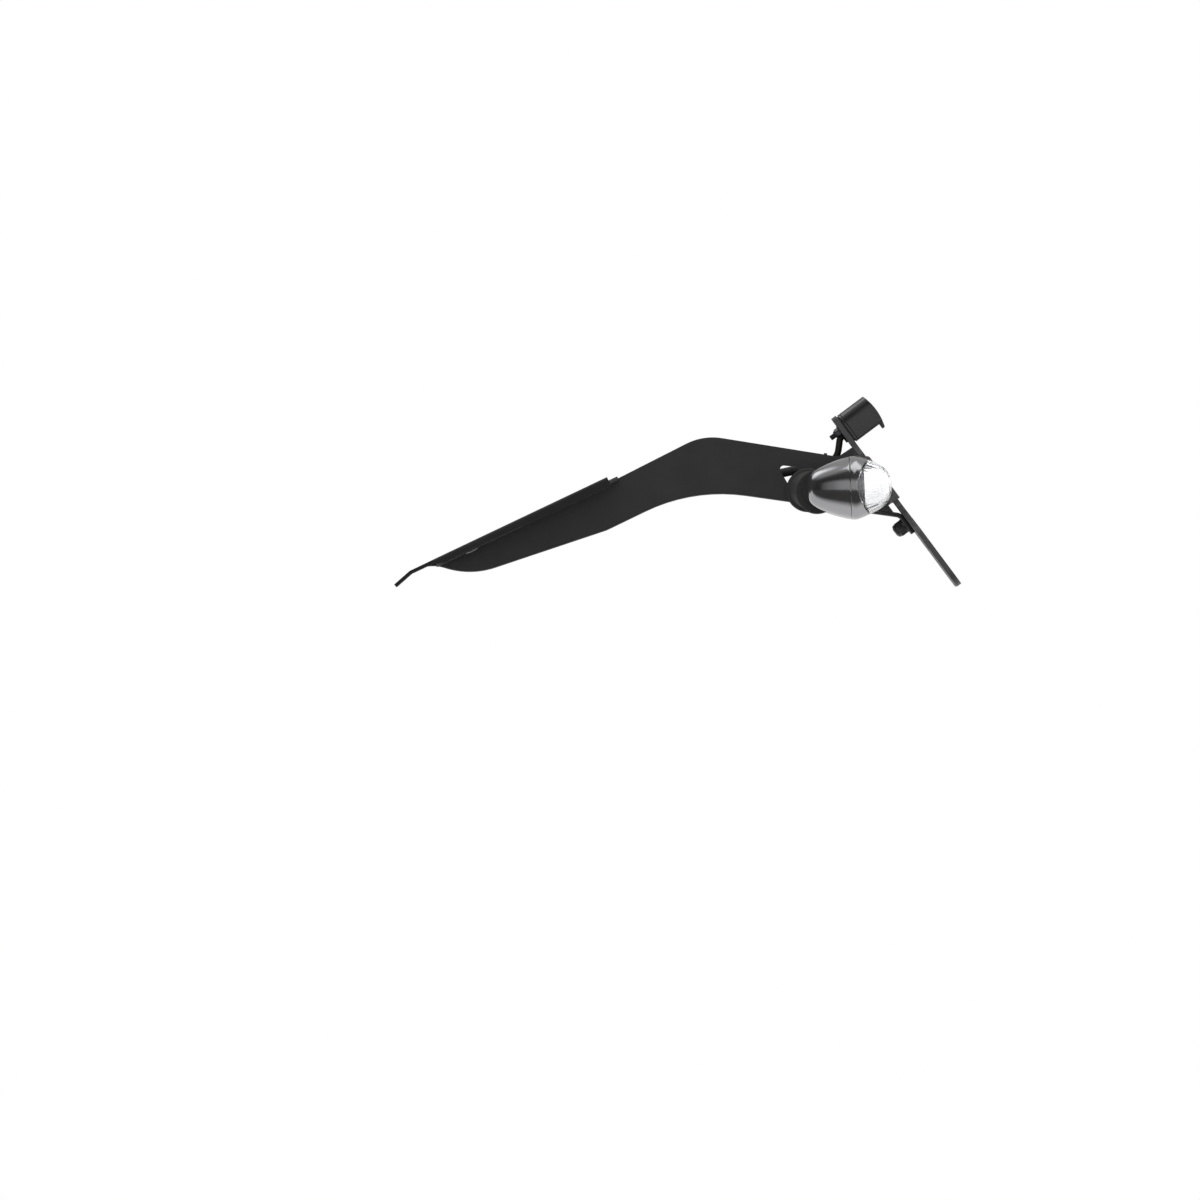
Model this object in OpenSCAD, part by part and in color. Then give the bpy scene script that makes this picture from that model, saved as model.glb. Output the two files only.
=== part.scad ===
// Tail tidy: a folded steel arm that hangs under a motorbike's tail and carries
// the rear indicators, the licence plate bracket and the plate lamp.
// X points to the rear, Y to the bike's right and Z up. The origin is the middle
// of the face that is bolted up against the tail.

/* [Tail mount] */
// Rise of the mounting face towards the rear, degrees
mount_tilt = 25.4; // [15:0.1:35]
// Side of the square of mounting holes
mount_pitch = 74; // [70:1:78]
// Mounting hole diameter
mount_hole_d = 6.6; // [5:0.1:8]

/* [Base plate] */
// Length of the base plate between the ends of its lips
base_l = 105.4; // [100:0.2:120]
// Width of the base plate over its lips
base_w = 112; // [106:1:130]
// Thickness of the base plate
base_t = 2; // [1.5:0.1:3]
// Depth of the side lips at the front, plate included
lip_front_h = 3.4; // [3.2:0.1:6]
// Depth of the side lips at the rear, plate included
lip_rear_h = 5.6; // [4:0.1:8]
// Width of the front tongue
tongue_w = 64; // [40:1:80]
// Flat length of the tongue before its bend
tongue_flat_l = 14; // [10:0.5:20]
// Length of the bent end of the tongue
tongue_end_l = 11.4; // [6:0.2:16]
// Downward bend of the tongue's end, degrees
tongue_bend = 16; // [5:1:30]
// Length of the wiring opening
wire_hole_l = 46; // [30:1:52]
// Width of the wiring opening
wire_hole_w = 36; // [20:1:42]

/* [Arm] */
// Width over the arm's side plates
arm_w = 56; // [52:1:60]
// Thickness of the arm's sheet
arm_t = 2.5; // [2:0.1:3]
// Length of the arm's mounting flanges ahead of the origin
flange_front_l = 52; // [51.5:0.1:52.5]
// Length of the arm's mounting flanges behind the origin
flange_rear_l = 57.9; // [50:0.1:60]
// Gap between the mounting flanges and the lips of the base plate
flange_gap = 1; // [0.5:0.1:2]
// Depth of the bend relief behind the flanges
relief_h = 1.2; // [0.5:0.1:2]
// Length of the tab below the bracket screws
tab_l = 6.1; // [5:0.1:12]
// Depth of the inward flanges that the bracket is bolted to
rear_flange_w = 17; // [14:0.5:20]
// Inner bend radius where the web turns down into the tab
tab_bend_r = 3; // [2:0.5:3.5]
// Length of the spanner slots under the indicator nuts
spanner_slot_l = 22; // [18:1:26]
// Width of the spanner slots
spanner_slot_w = 9; // [8:0.5:12]

/* [Plate bracket] */
// Slope of the bracket below the horizontal, degrees
plate_slope = 53.3; // [48:0.1:58]
// Thickness of the bracket
plate_t = 3; // [2:0.1:4]
// Width of the licence plate part
plate_w = 150; // [120:1:200]
// Length of the bracket below the tab screws
plate_low_l = 43.7; // [36:0.1:60]
// Length of the bracket above the tab screws
plate_high_l = 70.8; // [68:0.1:76]
// Width of the lamp tab at the top
lamp_tab_w = 36; // [34:1:44]
// Corner radius of the licence plate part
plate_corner_r = 10; // [2:1:16]
// Distance between the licence plate holes
plate_hole_pitch = 110; // [90:1:120]
// Diameter of the licence plate holes
plate_hole_d = 6.4; // [5:0.1:7]
// Length of the licence plate slots
plate_slot_l = 26; // [10:1:30]

/* [Clamp channel] */
// Thickness of the pressed channel behind the bracket
channel_t = 1.4; // [1:0.1:2]
// Length of the channel down the bracket
channel_l = 29.4; // [26:0.2:34]
// Depth of the channel's side flanges ahead of the bracket's rear face
channel_deep = 6.2; // [4:0.1:9]

/* [Screws] */
// Distance between the two tab screws
tab_screw_pitch = 40; // [30:1:44]
// Distance between the two channel bolts
channel_bolt_pitch = 34; // [30:0.5:36]
// Screw diameter in the bracket joints
screw_d = 5; // [4:0.5:6]
// Distance between the two lamp studs
lamp_stud_pitch = 24; // [20:1:26]
// Lamp stud diameter
lamp_stud_d = 3; // [2:0.5:4]

/* [Lamp] */
// Width of the lamp hood
hood_w = 36; // [32:1:40]
// Height of the lamp hood along the bracket
hood_h = 17.6; // [15:0.1:22]
// Depth of the lamp hood behind its gasket
hood_deep = 19; // [14:0.1:26]
// Rounding of the hood's upper corners
hood_r = 8; // [3:0.5:8.5]
// Wall of the lamp hood
hood_wall = 1.5; // [1:0.1:2.5]
// How far the hood's rear lip reaches below its walls
hood_lip = 3; // [0:0.1:5]
// Thickness of the hood's rear end over its crown
hood_end_t = 3.4; // [2.2:0.1:5]
// Thickness of the lamp gasket
gasket_t = 0.8; // [0.5:0.1:2]

/* [Indicators] */
// Diameter of the rubber stem's end discs
stem_d = 24; // [18:0.5:26]
// Length of the rubber stem
stem_l = 26; // [20:0.5:40]
// Rearward lean of the stem over its length
stem_sweep = 5; // [0:0.5:8]
// Droop of the stem over its length
stem_drop = 1; // [0:0.5:3]
// Thread diameter of the stem tube
stem_tube_d = 8; // [6:1:10]
// Bore of the stem tube
stem_bore_d = 4.4; // [4:0.1:5]
// Largest diameter of the indicator body
ind_d = 34.8; // [28:0.2:40]
// Length of the body from its nose to the bezel seam
shell_l = 23; // [18:0.2:28]
// Length of the bezel ring at its edges
bezel_l = 9.8; // [7:0.2:11]
// Reach of the lens behind the bezel
lens_l = 12.8; // [10:0.2:16]
// Nose-down tilt of the indicator body, degrees
ind_tilt = 2.5; // [0:0.5:5]
// Wall of the indicator body
ind_wall = 1.8; // [1.2:0.1:2.5]

/* [Cables] */
// Diameter of the lamp lead
lamp_lead_d = 3.8; // [3:0.1:4.4]
// Diameter of each indicator lead
ind_lead_d = 3.4; // [3:0.1:4]
// Clearance between parts that are slipped together
fit = 0.3; // [0.2:0.05:0.4]

/* [Hidden] */
$fn = 48;
eps = 0.01;
// Turn of each short edge on large and on small bends, degrees
fine_step = 4;
coarse_step = 12;
// Direction of the mounting face and its upward normal in the X-Z plane
mount_dir = [cos(mount_tilt), sin(mount_tilt)];
mount_up = [-sin(mount_tilt), cos(mount_tilt)];
// Middle of the tab screws on the bracket's rear face
plate_at = [215, -0.5];
plate_dir = [cos(plate_slope), -sin(plate_slope)];
plate_out = [sin(plate_slope), cos(plate_slope)];
// Arm outline: corner points with their bend radii
belly = [-27.3, -31.6, 44];
kink = [47.6, -6.5, 14];
crest_low = [94.9, 16.4, 95];
crest_high = [100.2, 45.6, 32];
saddle = [174, 33.8, 4];
front_curl = [-49.4, -24.5, 22];
// Heights down the bracket, measured from the tab screws
arm_top_s = -51.5;
arm_low_s = -14.2;
channel_low_s = -13.9;
channel_bolt_s = -29.5;
lamp_s = -62.4;
notch_deep = 6.2;
tab_corner_s = -5.4;
lip_t = base_t;
flange_w = base_w - 2 * (lip_t + flange_gap);
inner_w = arm_w - 2 * arm_t;
// Indicator mount hole on the side plates
ind_at = [157.8, 15.5];
// Rivets that hold the base plate to the arm
rivet_l = 31;
rivet_y = flange_w / 2 - 4.8;
rivet_d = 4;
rivet_head_d = 8;
rivet_head_h = 1;

// Geometry helpers
function xy(p) = [p[0], p[1]];
function unit(v) = v / norm(v);
function turned(v) = [-v[1], v[0]];
function side_of(a, b, c) = sign(cross(xy(b) - xy(a), xy(c) - xy(b)));
function mount_pt(l, n) = l * mount_dir + n * mount_up;
function plate_pt(s, a) = plate_at + s * plate_dir + a * plate_out;

// Corners moved sideways by off, with each bend radius kept concentric
function shifted(path, off) = [
  for (i = [0:len(path) - 1])
    let (
      before = i == 0 ? 0 : i - 1,
      after = min(before + 1, len(path) - 1),
      here = min(i, len(path) - 2),
      n1 = turned(unit(xy(path[after]) - xy(path[before]))),
      n2 = turned(unit(xy(path[here + 1]) - xy(path[here]))),
      p = xy(path[i]) + off * (n1 + n2) / (1 + n1 * n2),
      bend = i == 0 || i == len(path) - 1 ? 0 : side_of(path[i - 1], path[i], path[i + 1])
    )
    [p[0], p[1], path[i][2] == 0 ? 0 : path[i][2] - off * bend]
];

// Points of one corner's tangent arc
function corner_arc(a, p, b, r) =
  r <= 0 ? [p] :
  let (
    u = unit(a - p),
    v = unit(b - p),
    half = acos(u * v) / 2,
    centre = p + unit(u + v) * r / sin(half),
    first = p + u * r / tan(half) - centre,
    sweep = (180 - 2 * half) * sign(cross(p - a, b - p)),
    count = max(2, ceil(abs(sweep) / (r > 12 ? fine_step : coarse_step)))
  )
  [
    for (k = [0:count])
      let (t = sweep * k / count)
      centre + [first[0] * cos(t) - first[1] * sin(t), first[0] * sin(t) + first[1] * cos(t)]
  ];

// An open run of corners with its arcs
function rounded(path) = [
  for (i = [0:len(path) - 1])
    each (i == 0 || i == len(path) - 1
      ? [xy(path[i])]
      : corner_arc(xy(path[i - 1]), xy(path[i]), xy(path[i + 1]), path[i][2]))
];

// A closed loop of corners with its arcs
function rounded_loop(path) = [
  for (i = [0:len(path) - 1])
    let (
      a = path[(i + len(path) - 1) % len(path)],
      b = path[(i + 1) % len(path)]
    )
    each corner_arc(xy(a), xy(path[i]), xy(b), path[i][2])
];

function reversed(list) = [for (i = [len(list) - 1:-1:0]) list[i]];

module round_rect(size, r) {
  polygon(rounded_loop([
    [-size[0] / 2, -size[1] / 2, r],
    [size[0] / 2, -size[1] / 2, r],
    [size[0] / 2, size[1] / 2, r],
    [-size[0] / 2, size[1] / 2, r]
  ]));
}

// Extrudes an outline drawn in X-Z along Y, from y0 to y1
module across(y0, y1) {
  translate([0, y1, 0])
    rotate([90, 0, 0])
      linear_extrude(y1 - y0)
        children();
}

// Frames: x runs down the slope, z is the outward normal
module on_mount() {
  rotate([0, -mount_tilt, 0])
    children();
}

module on_plate() {
  translate([plate_at[0], 0, plate_at[1]])
    rotate([0, plate_slope, 0])
      children();
}

module both_sides() {
  children();
  mirror([0, 1, 0])
    children();
}

module to_side(side) {
  if (side > 0)
    children();
  else
    mirror([0, 1, 0])
      children();
}

module mount_holes(z0, z1) {
  for (x = [-1, 1], y = [-1, 1])
    translate([x * mount_pitch / 2, y * mount_pitch / 2, z0])
      cylinder(h = z1 - z0, d = mount_hole_d);
}

module rivet_places() {
  for (x = [-1, 1], y = [-1, 1])
    translate([x * rivet_l, y * rivet_y, 0])
      children();
}

// Base plate: flat sheet with two lips, a front tongue and a wiring opening
base_bend_r = 2.6;
wire_hole_r = 8;

module base_section() {
  half = base_w / 2;
  outer = rounded([
    [-half, -lip_rear_h - 1, 0], [-half, 0, base_bend_r], [half, 0, base_bend_r],
    [half, -lip_rear_h - 1, 0]
  ]);
  inner = rounded([
    [half - lip_t, -lip_rear_h - 1, 0], [half - lip_t, -base_t, base_bend_r - lip_t],
    [lip_t - half, -base_t, base_bend_r - lip_t], [lip_t - half, -lip_rear_h - 1, 0]
  ]);
  polygon(concat(outer, inner));
}

module base_side() {
  polygon(rounded_loop([
    [-base_l / 2, 0, 0], [-base_l / 2, -lip_front_h, 2],
    [base_l / 2, -lip_rear_h, 2.6], [base_l / 2, 0, 0]
  ]));
}

module base_plan() {
  front = -base_l / 2;
  polygon(rounded_loop([
    [base_l / 2, -base_w / 2, 2], [base_l / 2, base_w / 2, 2],
    [front, base_w / 2, 8], [front, tongue_w / 2, 4],
    [front - tongue_flat_l, tongue_w / 2, 0], [front - tongue_flat_l, -tongue_w / 2, 0],
    [front, -tongue_w / 2, 4], [front, -base_w / 2, 8]
  ]));
}

module base_plate() {
  color([0.09, 0.09, 0.095])
    on_mount()
      difference() {
        union() {
          intersection() {
            translate([-base_l / 2, 0, 0])
              rotate([90, 0, 90])
                linear_extrude(base_l)
                  base_section();
            across(-base_w, base_w)
              base_side();
          }
          translate([0, 0, -base_t])
            linear_extrude(base_t)
              intersection() {
                base_plan();
                translate([-base_l, -tongue_w / 2 - 6])
                  square([base_l, tongue_w + 12]);
              }
          tongue_end();
        }
        mount_holes(-base_t - 1, 1);
        rivet_places()
          translate([0, 0, -base_t - 1])
            cylinder(h = base_t + 2, d = rivet_d);
        translate([0, 0, -base_t - 1])
          linear_extrude(base_t + 2)
            round_rect([wire_hole_l, wire_hole_w], wire_hole_r);
      }
}

module tongue_end() {
  start = -base_l / 2 - tongue_flat_l;
  path = [
    [start + 3, 0, 0], [start, 0, 3],
    [start - tongue_end_l * cos(tongue_bend), -tongue_end_l * sin(tongue_bend), 0]
  ];
  across(-tongue_w / 2, tongue_w / 2)
    polygon(concat(rounded(path), reversed(rounded(shifted(path, base_t)))));
}

module base_rivets() {
  color([0.16, 0.16, 0.17])
    on_mount()
      rivet_places()
        translate([0, 0, -base_t - arm_t - rivet_head_h])
          rotate_extrude()
            polygon(concat(
              [[0, base_t + arm_t + rivet_head_h], [0, 0]],
              [for (k = [0:5]) let (t = 90 * k / 5)
                [rivet_head_d / 2 * sin(t), rivet_head_h * (1 - cos(t))]],
              [[rivet_d / 2 - 0.05, rivet_head_h],
                [rivet_d / 2 - 0.05, base_t + arm_t + rivet_head_h]]
            ));
}

// Arm: web and side plates that follow the same run of bends
web_path = [
  [mount_pt(-75, -1)[0], mount_pt(-75, -1)[1], 0],
  front_curl,
  belly,
  kink,
  crest_low,
  [plate_pt(tab_corner_s, -plate_t - arm_t)[0], plate_pt(tab_corner_s, -plate_t - arm_t)[1],
    tab_bend_r],
  [plate_pt(tab_l, -plate_t - arm_t)[0], plate_pt(tab_l, -plate_t - arm_t)[1], 0]
];

// The side plates stop where the web starts to bend down
web_rear_dir = unit(xy(web_path[5]) - xy(web_path[4]));
tab_turn = acos(web_rear_dir * plate_dir);
side_end = xy(web_path[5]) - web_rear_dir * tab_bend_r * tan(tab_turn / 2);

module web_outline() {
  polygon(concat(rounded(web_path), reversed(rounded(shifted(web_path, arm_t)))));
}

module side_outline() {
  low = [for (i = [0:4]) web_path[i]];
  lower_edge = rounded(concat(low, [[side_end[0], side_end[1], 0]]));
  top = plate_pt(arm_top_s, -plate_t);
  relief_l = flange_rear_l - relief_h / 2;
  relief_end = mount_pt(relief_l, -base_t - relief_h);
  upper_edge = rounded([
    [top[0], top[1], 0], saddle, crest_high, [relief_end[0], relief_end[1], 0]
  ]);
  polygon(concat(
    lower_edge,
    [plate_pt(arm_low_s + 3.4, -notch_deep), plate_pt(arm_low_s, -notch_deep),
      plate_pt(arm_low_s, -plate_t)],
    upper_edge,
    [mount_pt(relief_l, base_t), mount_pt(-75, base_t)]
  ));
}

module side_window() {
  polygon(rounded_loop([
    [140.4, 29.4, 2.2], [147.4, 17.6, 1.4], [153.6, 28.2, 2.2]
  ]));
}

// Opening in the web that lets a spanner reach the indicator nut
module spanner_slot() {
  half = spanner_slot_l / 2;
  near = inner_w / 2;
  far = near - spanner_slot_w;
  translate([ind_at[0], 0, ind_at[1] - 16])
    linear_extrude(16)
      polygon(rounded_loop([
        [-half, near, 0], [-half, far, 3], [half, far, 3], [half, near, 0]
      ]));
}

module arm() {
  color([0.10, 0.10, 0.105])
    difference() {
      union() {
        difference() {
          union() {
            across(-arm_w / 2, arm_w / 2)
              web_outline();
            both_sides()
              across(arm_w / 2 - arm_t, arm_w / 2)
                side_outline();
          }
          on_mount()
            translate([-150, -arm_w, -base_t - fit / 2])
              cube([152 + flange_rear_l, 2 * arm_w, 60]);
          both_sides()
            across(0, arm_w)
              side_window();
          both_sides()
            spanner_slot();
        }
        both_sides()
          on_mount()
            arm_flange();
        both_sides()
          rear_flange();
      }
      on_mount() {
        mount_holes(-base_t - arm_t - 1, 1);
        rivet_places()
          translate([0, 0, -base_t - arm_t - 1])
            cylinder(h = arm_t + 2, d = rivet_d);
      }
      on_plate()
        joint_holes(-20, 1);
      translate([ind_at[0], -arm_w, ind_at[1]])
        rotate([-90, 0, 0])
          cylinder(h = 2 * arm_w, d = stem_tube_d + fit);
    }
}

module arm_flange() {
  inner = arm_w / 2 - arm_t;
  translate([0, 0, -base_t - arm_t])
    linear_extrude(arm_t)
      polygon(rounded_loop([
        [-flange_front_l, inner, 0], [flange_rear_l, inner, 0],
        [flange_rear_l, arm_w / 2 + 1.5, 0],
        [flange_rear_l - 6, flange_w / 2, 8], [-flange_front_l, flange_w / 2, 8]
      ]));
}

module rear_flange() {
  inner = arm_w / 2 - rear_flange_w;
  on_plate()
    translate([0, 0, -plate_t - arm_t])
      linear_extrude(arm_t)
        polygon(rounded_loop([
          [arm_top_s + 4, inner, 4], [arm_low_s - 1, inner, 4],
          [arm_low_s - 1, arm_w / 2 - 1, 0], [arm_top_s + 4, arm_w / 2 - 1, 0]
        ]));
}

module joint_holes(z0, z1) {
  for (y = [-1, 1]) {
    translate([0, y * tab_screw_pitch / 2, z0])
      cylinder(h = z1 - z0, d = screw_d + fit);
    translate([channel_bolt_s, y * channel_bolt_pitch / 2, z0])
      cylinder(h = z1 - z0, d = screw_d + fit);
  }
}

// Plate bracket: narrow lamp tab, neck at the arm, wide licence plate part
neck_low_s = -8;
plate_low_s = 6;

module bracket_outline() {
  top = -plate_high_l;
  half = plate_w / 2;
  right = [
    [top, lamp_tab_w / 2, 4], [arm_top_s - 1, lamp_tab_w / 2, 3],
    [arm_top_s + 6, arm_w / 2, 2], [neck_low_s, arm_w / 2, 5],
    [plate_low_s, half, plate_corner_r], [plate_low_l, half, plate_corner_r]
  ];
  left = [for (p = reversed(right)) [p[0], -p[1], p[2]]];
  polygon(rounded_loop(concat(right, left)));
}

module plate_slot() {
  round_rect([plate_hole_d, plate_slot_l], plate_hole_d / 2 - eps);
}

module plate_bracket() {
  color([0.085, 0.085, 0.09])
    on_plate()
      difference() {
        translate([0, 0, -plate_t])
          linear_extrude(plate_t)
            difference() {
              bracket_outline();
              for (y = [-1, 1])
                translate([plate_low_s + 9, y * plate_hole_pitch / 2])
                  plate_slot();
            }
        joint_holes(-plate_t - 1, 1);
        both_sides()
          translate([plate_low_l - 10, plate_hole_pitch / 2, -plate_t - 1])
            cylinder(h = plate_t + 2, d = plate_hole_d);
        both_sides()
          translate([stud_s, lamp_stud_pitch / 2, -plate_t - 1])
            cylinder(h = plate_t + 2, d = lamp_stud_d + fit);
        translate([lamp_hole_s, 0, -plate_t - 1])
          cylinder(h = plate_t + 2, d = grommet_hole_d);
        both_sides()
          translate([0, tab_screw_pitch / 2, -sink_h])
            cylinder(h = sink_h + eps, d1 = screw_d + fit, d2 = sink_d + fit);
      }
}

// Clamp channel: pressed sheet behind the bracket, folded forward round its edges
module channel_section() {
  half = arm_w / 2 + fit + channel_t;
  outer = rounded([
    [-half, -channel_deep, 0], [-half, channel_t, channel_t + 0.8],
    [half, channel_t, channel_t + 0.8], [half, -channel_deep, 0]
  ]);
  inner = rounded([
    [half - channel_t, -channel_deep, 0], [half - channel_t, 0, 0],
    [channel_t - half, 0, 0], [channel_t - half, -channel_deep, 0]
  ]);
  polygon(concat(outer, inner));
}

module clamp_channel() {
  top = channel_low_s - channel_l;
  color([0.14, 0.14, 0.145])
    on_plate()
      difference() {
        intersection() {
          translate([top, 0, 0])
            rotate([90, 0, 90])
              linear_extrude(channel_l)
                channel_section();
          across(-arm_w, arm_w)
            polygon(rounded_loop([
              [top, -channel_deep, 3], [channel_low_s, -channel_deep, 3],
              [channel_low_s, channel_t + eps, 0.3], [top, channel_t + eps, 2.4]
            ]));
        }
        for (y = [-1, 1])
          translate([channel_bolt_s, y * channel_bolt_pitch / 2, -1])
            cylinder(h = channel_t + 2, d = screw_d + fit);
      }
}

// Screws, washers and nuts
button_d = 1.9;
button_h = 0.55;
washer_d = 2;
tab_washer_d = 1.64;
washer_t = 1;
nut_af = 1.6;
nut_h = 1;
sink_d = 1.9 * screw_d;
sink_h = 0.48 * screw_d;
bore_fit = 0.2;

module button_screw(d, length) {
  head_r = button_d * d / 2;
  head_h = button_h * d;
  difference() {
    rotate_extrude()
      polygon(concat(
        [[0, -length], [d / 2 - 0.4, -length], [d / 2, -length + 0.4], [d / 2, 0], [head_r, 0]],
        [for (k = [0:6]) let (t = 62 * k / 6)
          [head_r * cos(t), head_h * sin(t) / sin(62)]],
        [[0, head_h]]
      ));
    translate([0, 0, head_h * 0.4])
      cylinder(h = head_h, d = d * 0.66, $fn = 6);
  }
}

module sunk_screw(d, length) {
  difference() {
    rotate_extrude()
      polygon([
        [0, -length], [d / 2 - 0.4, -length], [d / 2, -length + 0.4],
        [d / 2, -sink_h], [sink_d / 2, 0], [0, 0]
      ]);
    translate([0, 0, -sink_h * 0.7])
      cylinder(h = sink_h, d = d * 0.66, $fn = 6);
  }
}

module washer(d, outer, t) {
  difference() {
    cylinder(h = t, d = outer);
    translate([0, 0, -1])
      cylinder(h = t + 2, d = d + bore_fit);
  }
}

// Self-locking nut that stands on z = 0, with its collar upwards
module lock_nut(d) {
  hex_h = 0.68 * d * nut_h;
  collar_h = nut_h * d - hex_h;
  difference() {
    union() {
      intersection() {
        cylinder(h = hex_h, d = nut_af * d / cos(30), $fn = 6);
        translate([0, 0, -0.5 * d])
          cylinder(h = 2 * d, d1 = 2.9 * d, d2 = 1.2 * d);
      }
      translate([0, 0, hex_h])
        rotate_extrude()
          polygon([
            [0, 0], [0.74 * d, 0], [0.74 * d, collar_h * 0.5],
            [0.66 * d, collar_h], [0, collar_h]
          ]);
    }
    translate([0, 0, -1])
      cylinder(h = d + 2, d = d + bore_fit);
  }
}

module channel_bolt_places(z) {
  on_plate()
    for (y = [-1, 1])
      translate([channel_bolt_s, y * channel_bolt_pitch / 2, z])
        children();
}

module tab_screw_places(z) {
  on_plate()
    for (y = [-1, 1])
      translate([0, y * tab_screw_pitch / 2, z])
        children();
}

joint_front = -plate_t - arm_t;

module channel_bolts() {
  color([0.2, 0.2, 0.21])
    channel_bolt_places(channel_t)
      button_screw(screw_d, channel_t - joint_front + washer_t + nut_h * screw_d + 1);
}

module channel_washers() {
  color([0.45, 0.45, 0.46])
    channel_bolt_places(joint_front - washer_t)
      washer(screw_d, washer_d * screw_d, washer_t);
}

module channel_nuts() {
  color([0.4, 0.4, 0.42])
    channel_bolt_places(joint_front - washer_t)
      mirror([0, 0, 1])
        lock_nut(screw_d);
}

module tab_screws() {
  color([0.2, 0.2, 0.21])
    tab_screw_places(0)
      sunk_screw(screw_d, -joint_front + washer_t + nut_h * screw_d + 0.6);
}

module tab_washers() {
  color([0.12, 0.12, 0.13])
    tab_screw_places(joint_front - washer_t)
      washer(screw_d, tab_washer_d * screw_d, washer_t);
}

module tab_nuts() {
  color([0.12, 0.12, 0.13])
    tab_screw_places(joint_front - washer_t)
      mirror([0, 0, 1])
        rotate([0, 0, 30])
          lock_nut(screw_d);
}

// Plate lamp: x runs down the bracket, z stands out from its rear face
stud_s = lamp_s;
lamp_mid_s = lamp_s + 0.9;
lamp_hole_s = lamp_mid_s + 1.9;
grommet_hole_d = lamp_lead_d + 2.6;
lamp_base_t = 1.4;
hood_back = gasket_t + lamp_base_t;
hood_end = gasket_t + hood_deep;
hood_face_r = 32;
boss_h = 5;
boss_d = lamp_stud_d + 3;
lamp_lens_t = 2;
board_t = 1.2;
board_x = 2.2;
lamp_stud_out = 6.6;

module hood_section(inset) {
  high = hood_h / 2 - inset;
  wide = hood_w / 2 - inset;
  polygon(rounded_loop([
    [-high, -wide, hood_r - inset], [high, -wide, 1.2], [high, wide, 1.2],
    [-high, wide, hood_r - inset]
  ]));
}

module lamp_frame() {
  on_plate()
    translate([lamp_mid_s, 0, 0])
      children();
}

module lamp_through(z0, z1, d_stud, d_lead) {
  for (y = [-1, 1])
    translate([stud_s - lamp_mid_s, y * lamp_stud_pitch / 2, z0])
      cylinder(h = z1 - z0, d = d_stud);
  translate([lamp_hole_s - lamp_mid_s, 0, z0])
    cylinder(h = z1 - z0, d = d_lead);
}

module lamp_gasket() {
  color([0.05, 0.05, 0.05])
    lamp_frame()
      difference() {
        linear_extrude(gasket_t)
          hood_section(0.6);
        lamp_through(-1, gasket_t + 1, lamp_stud_d + fit, lamp_lead_d + 2 * fit);
      }
}

module lamp_base() {
  color([0.11, 0.11, 0.115])
    lamp_frame()
      difference() {
        union() {
          translate([0, 0, gasket_t])
            linear_extrude(lamp_base_t)
              hood_section(0);
          for (y = [-1, 1])
            translate([stud_s - lamp_mid_s, y * lamp_stud_pitch / 2, hood_back])
              cylinder(h = boss_h, d = boss_d);
        }
        lamp_through(0, hood_back + boss_h - 1.5, lamp_stud_d, lamp_lead_d + 2 * fit);
      }
}

module lamp_hood() {
  lip_inset = 1.6;
  lip_root = 2;
  face_off = 1.1;
  cavity = hood_end - hood_back + 1 - hood_end_t;
  color([0.075, 0.075, 0.08])
    lamp_frame()
      difference() {
        intersection() {
          union() {
            translate([0, 0, hood_back])
              linear_extrude(hood_end - hood_back)
                hood_section(0);
            translate([hood_h / 2 - lip_root, lip_inset - hood_w / 2, hood_end - hood_end_t - 1])
              cube([hood_lip + lip_root, hood_w - 2 * lip_inset, hood_end_t + 1]);
          }
          translate([face_off, -hood_w, hood_end - hood_face_r])
            rotate([-90, 0, 0])
              cylinder(h = 2 * hood_w, r = hood_face_r, $fn = 96);
        }
        translate([0, 0, hood_back - 1])
          linear_extrude(cavity)
            hood_section(hood_wall);
        translate([hood_h / 2 - hood_wall - 1, hood_wall - hood_w / 2, hood_back - 1])
          cube([hood_lip + hood_wall + 2, hood_w - 2 * hood_wall, cavity]);
      }
}

module lamp_lens() {
  inset = 0.4;
  wide = hood_w - 2 * hood_wall - fit;
  color([0.85, 0.88, 0.9])
    lamp_frame()
      translate([hood_h / 2 - lamp_lens_t - inset, -wide / 2, hood_back + eps])
        cube([lamp_lens_t, wide, hood_end - hood_back - hood_end_t - fit / 2]);
}

module lamp_board() {
  led = 2.2;
  led_pitch = 7;
  half = hood_w / 2 - hood_wall - 1;
  start = hood_back + boss_h + fit;
  color([0.75, 0.76, 0.72])
    lamp_frame() {
      translate([board_x, -half, start])
        cube([board_t, 2 * half, hood_end - hood_end_t - fit - start]);
      for (y = [-1.5:1:1.5])
        translate([board_x + board_t - eps, y * led_pitch - led / 2, start + 2])
          cube([0.9, led, led]);
    }
}

module lamp_studs() {
  color([0.3, 0.3, 0.31])
    lamp_frame()
      for (y = [-1, 1])
        translate([stud_s - lamp_mid_s, y * lamp_stud_pitch / 2, -plate_t - lamp_stud_out])
          cylinder(h = plate_t + lamp_stud_out + hood_back + boss_h - 1.5, d = lamp_stud_d - eps);
}

module lamp_washers() {
  color([0.4, 0.4, 0.41])
    lamp_frame()
      for (y = [-1, 1])
        translate([stud_s - lamp_mid_s, y * lamp_stud_pitch / 2, -plate_t - 0.5])
          washer(lamp_stud_d, 2.3 * lamp_stud_d, 0.5);
}

module lamp_nuts() {
  color([0.3, 0.3, 0.31])
    lamp_frame()
      for (y = [-1, 1])
        translate([stud_s - lamp_mid_s, y * lamp_stud_pitch / 2, -plate_t - 0.5])
          mirror([0, 0, 1])
            lock_nut(lamp_stud_d);
}

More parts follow.
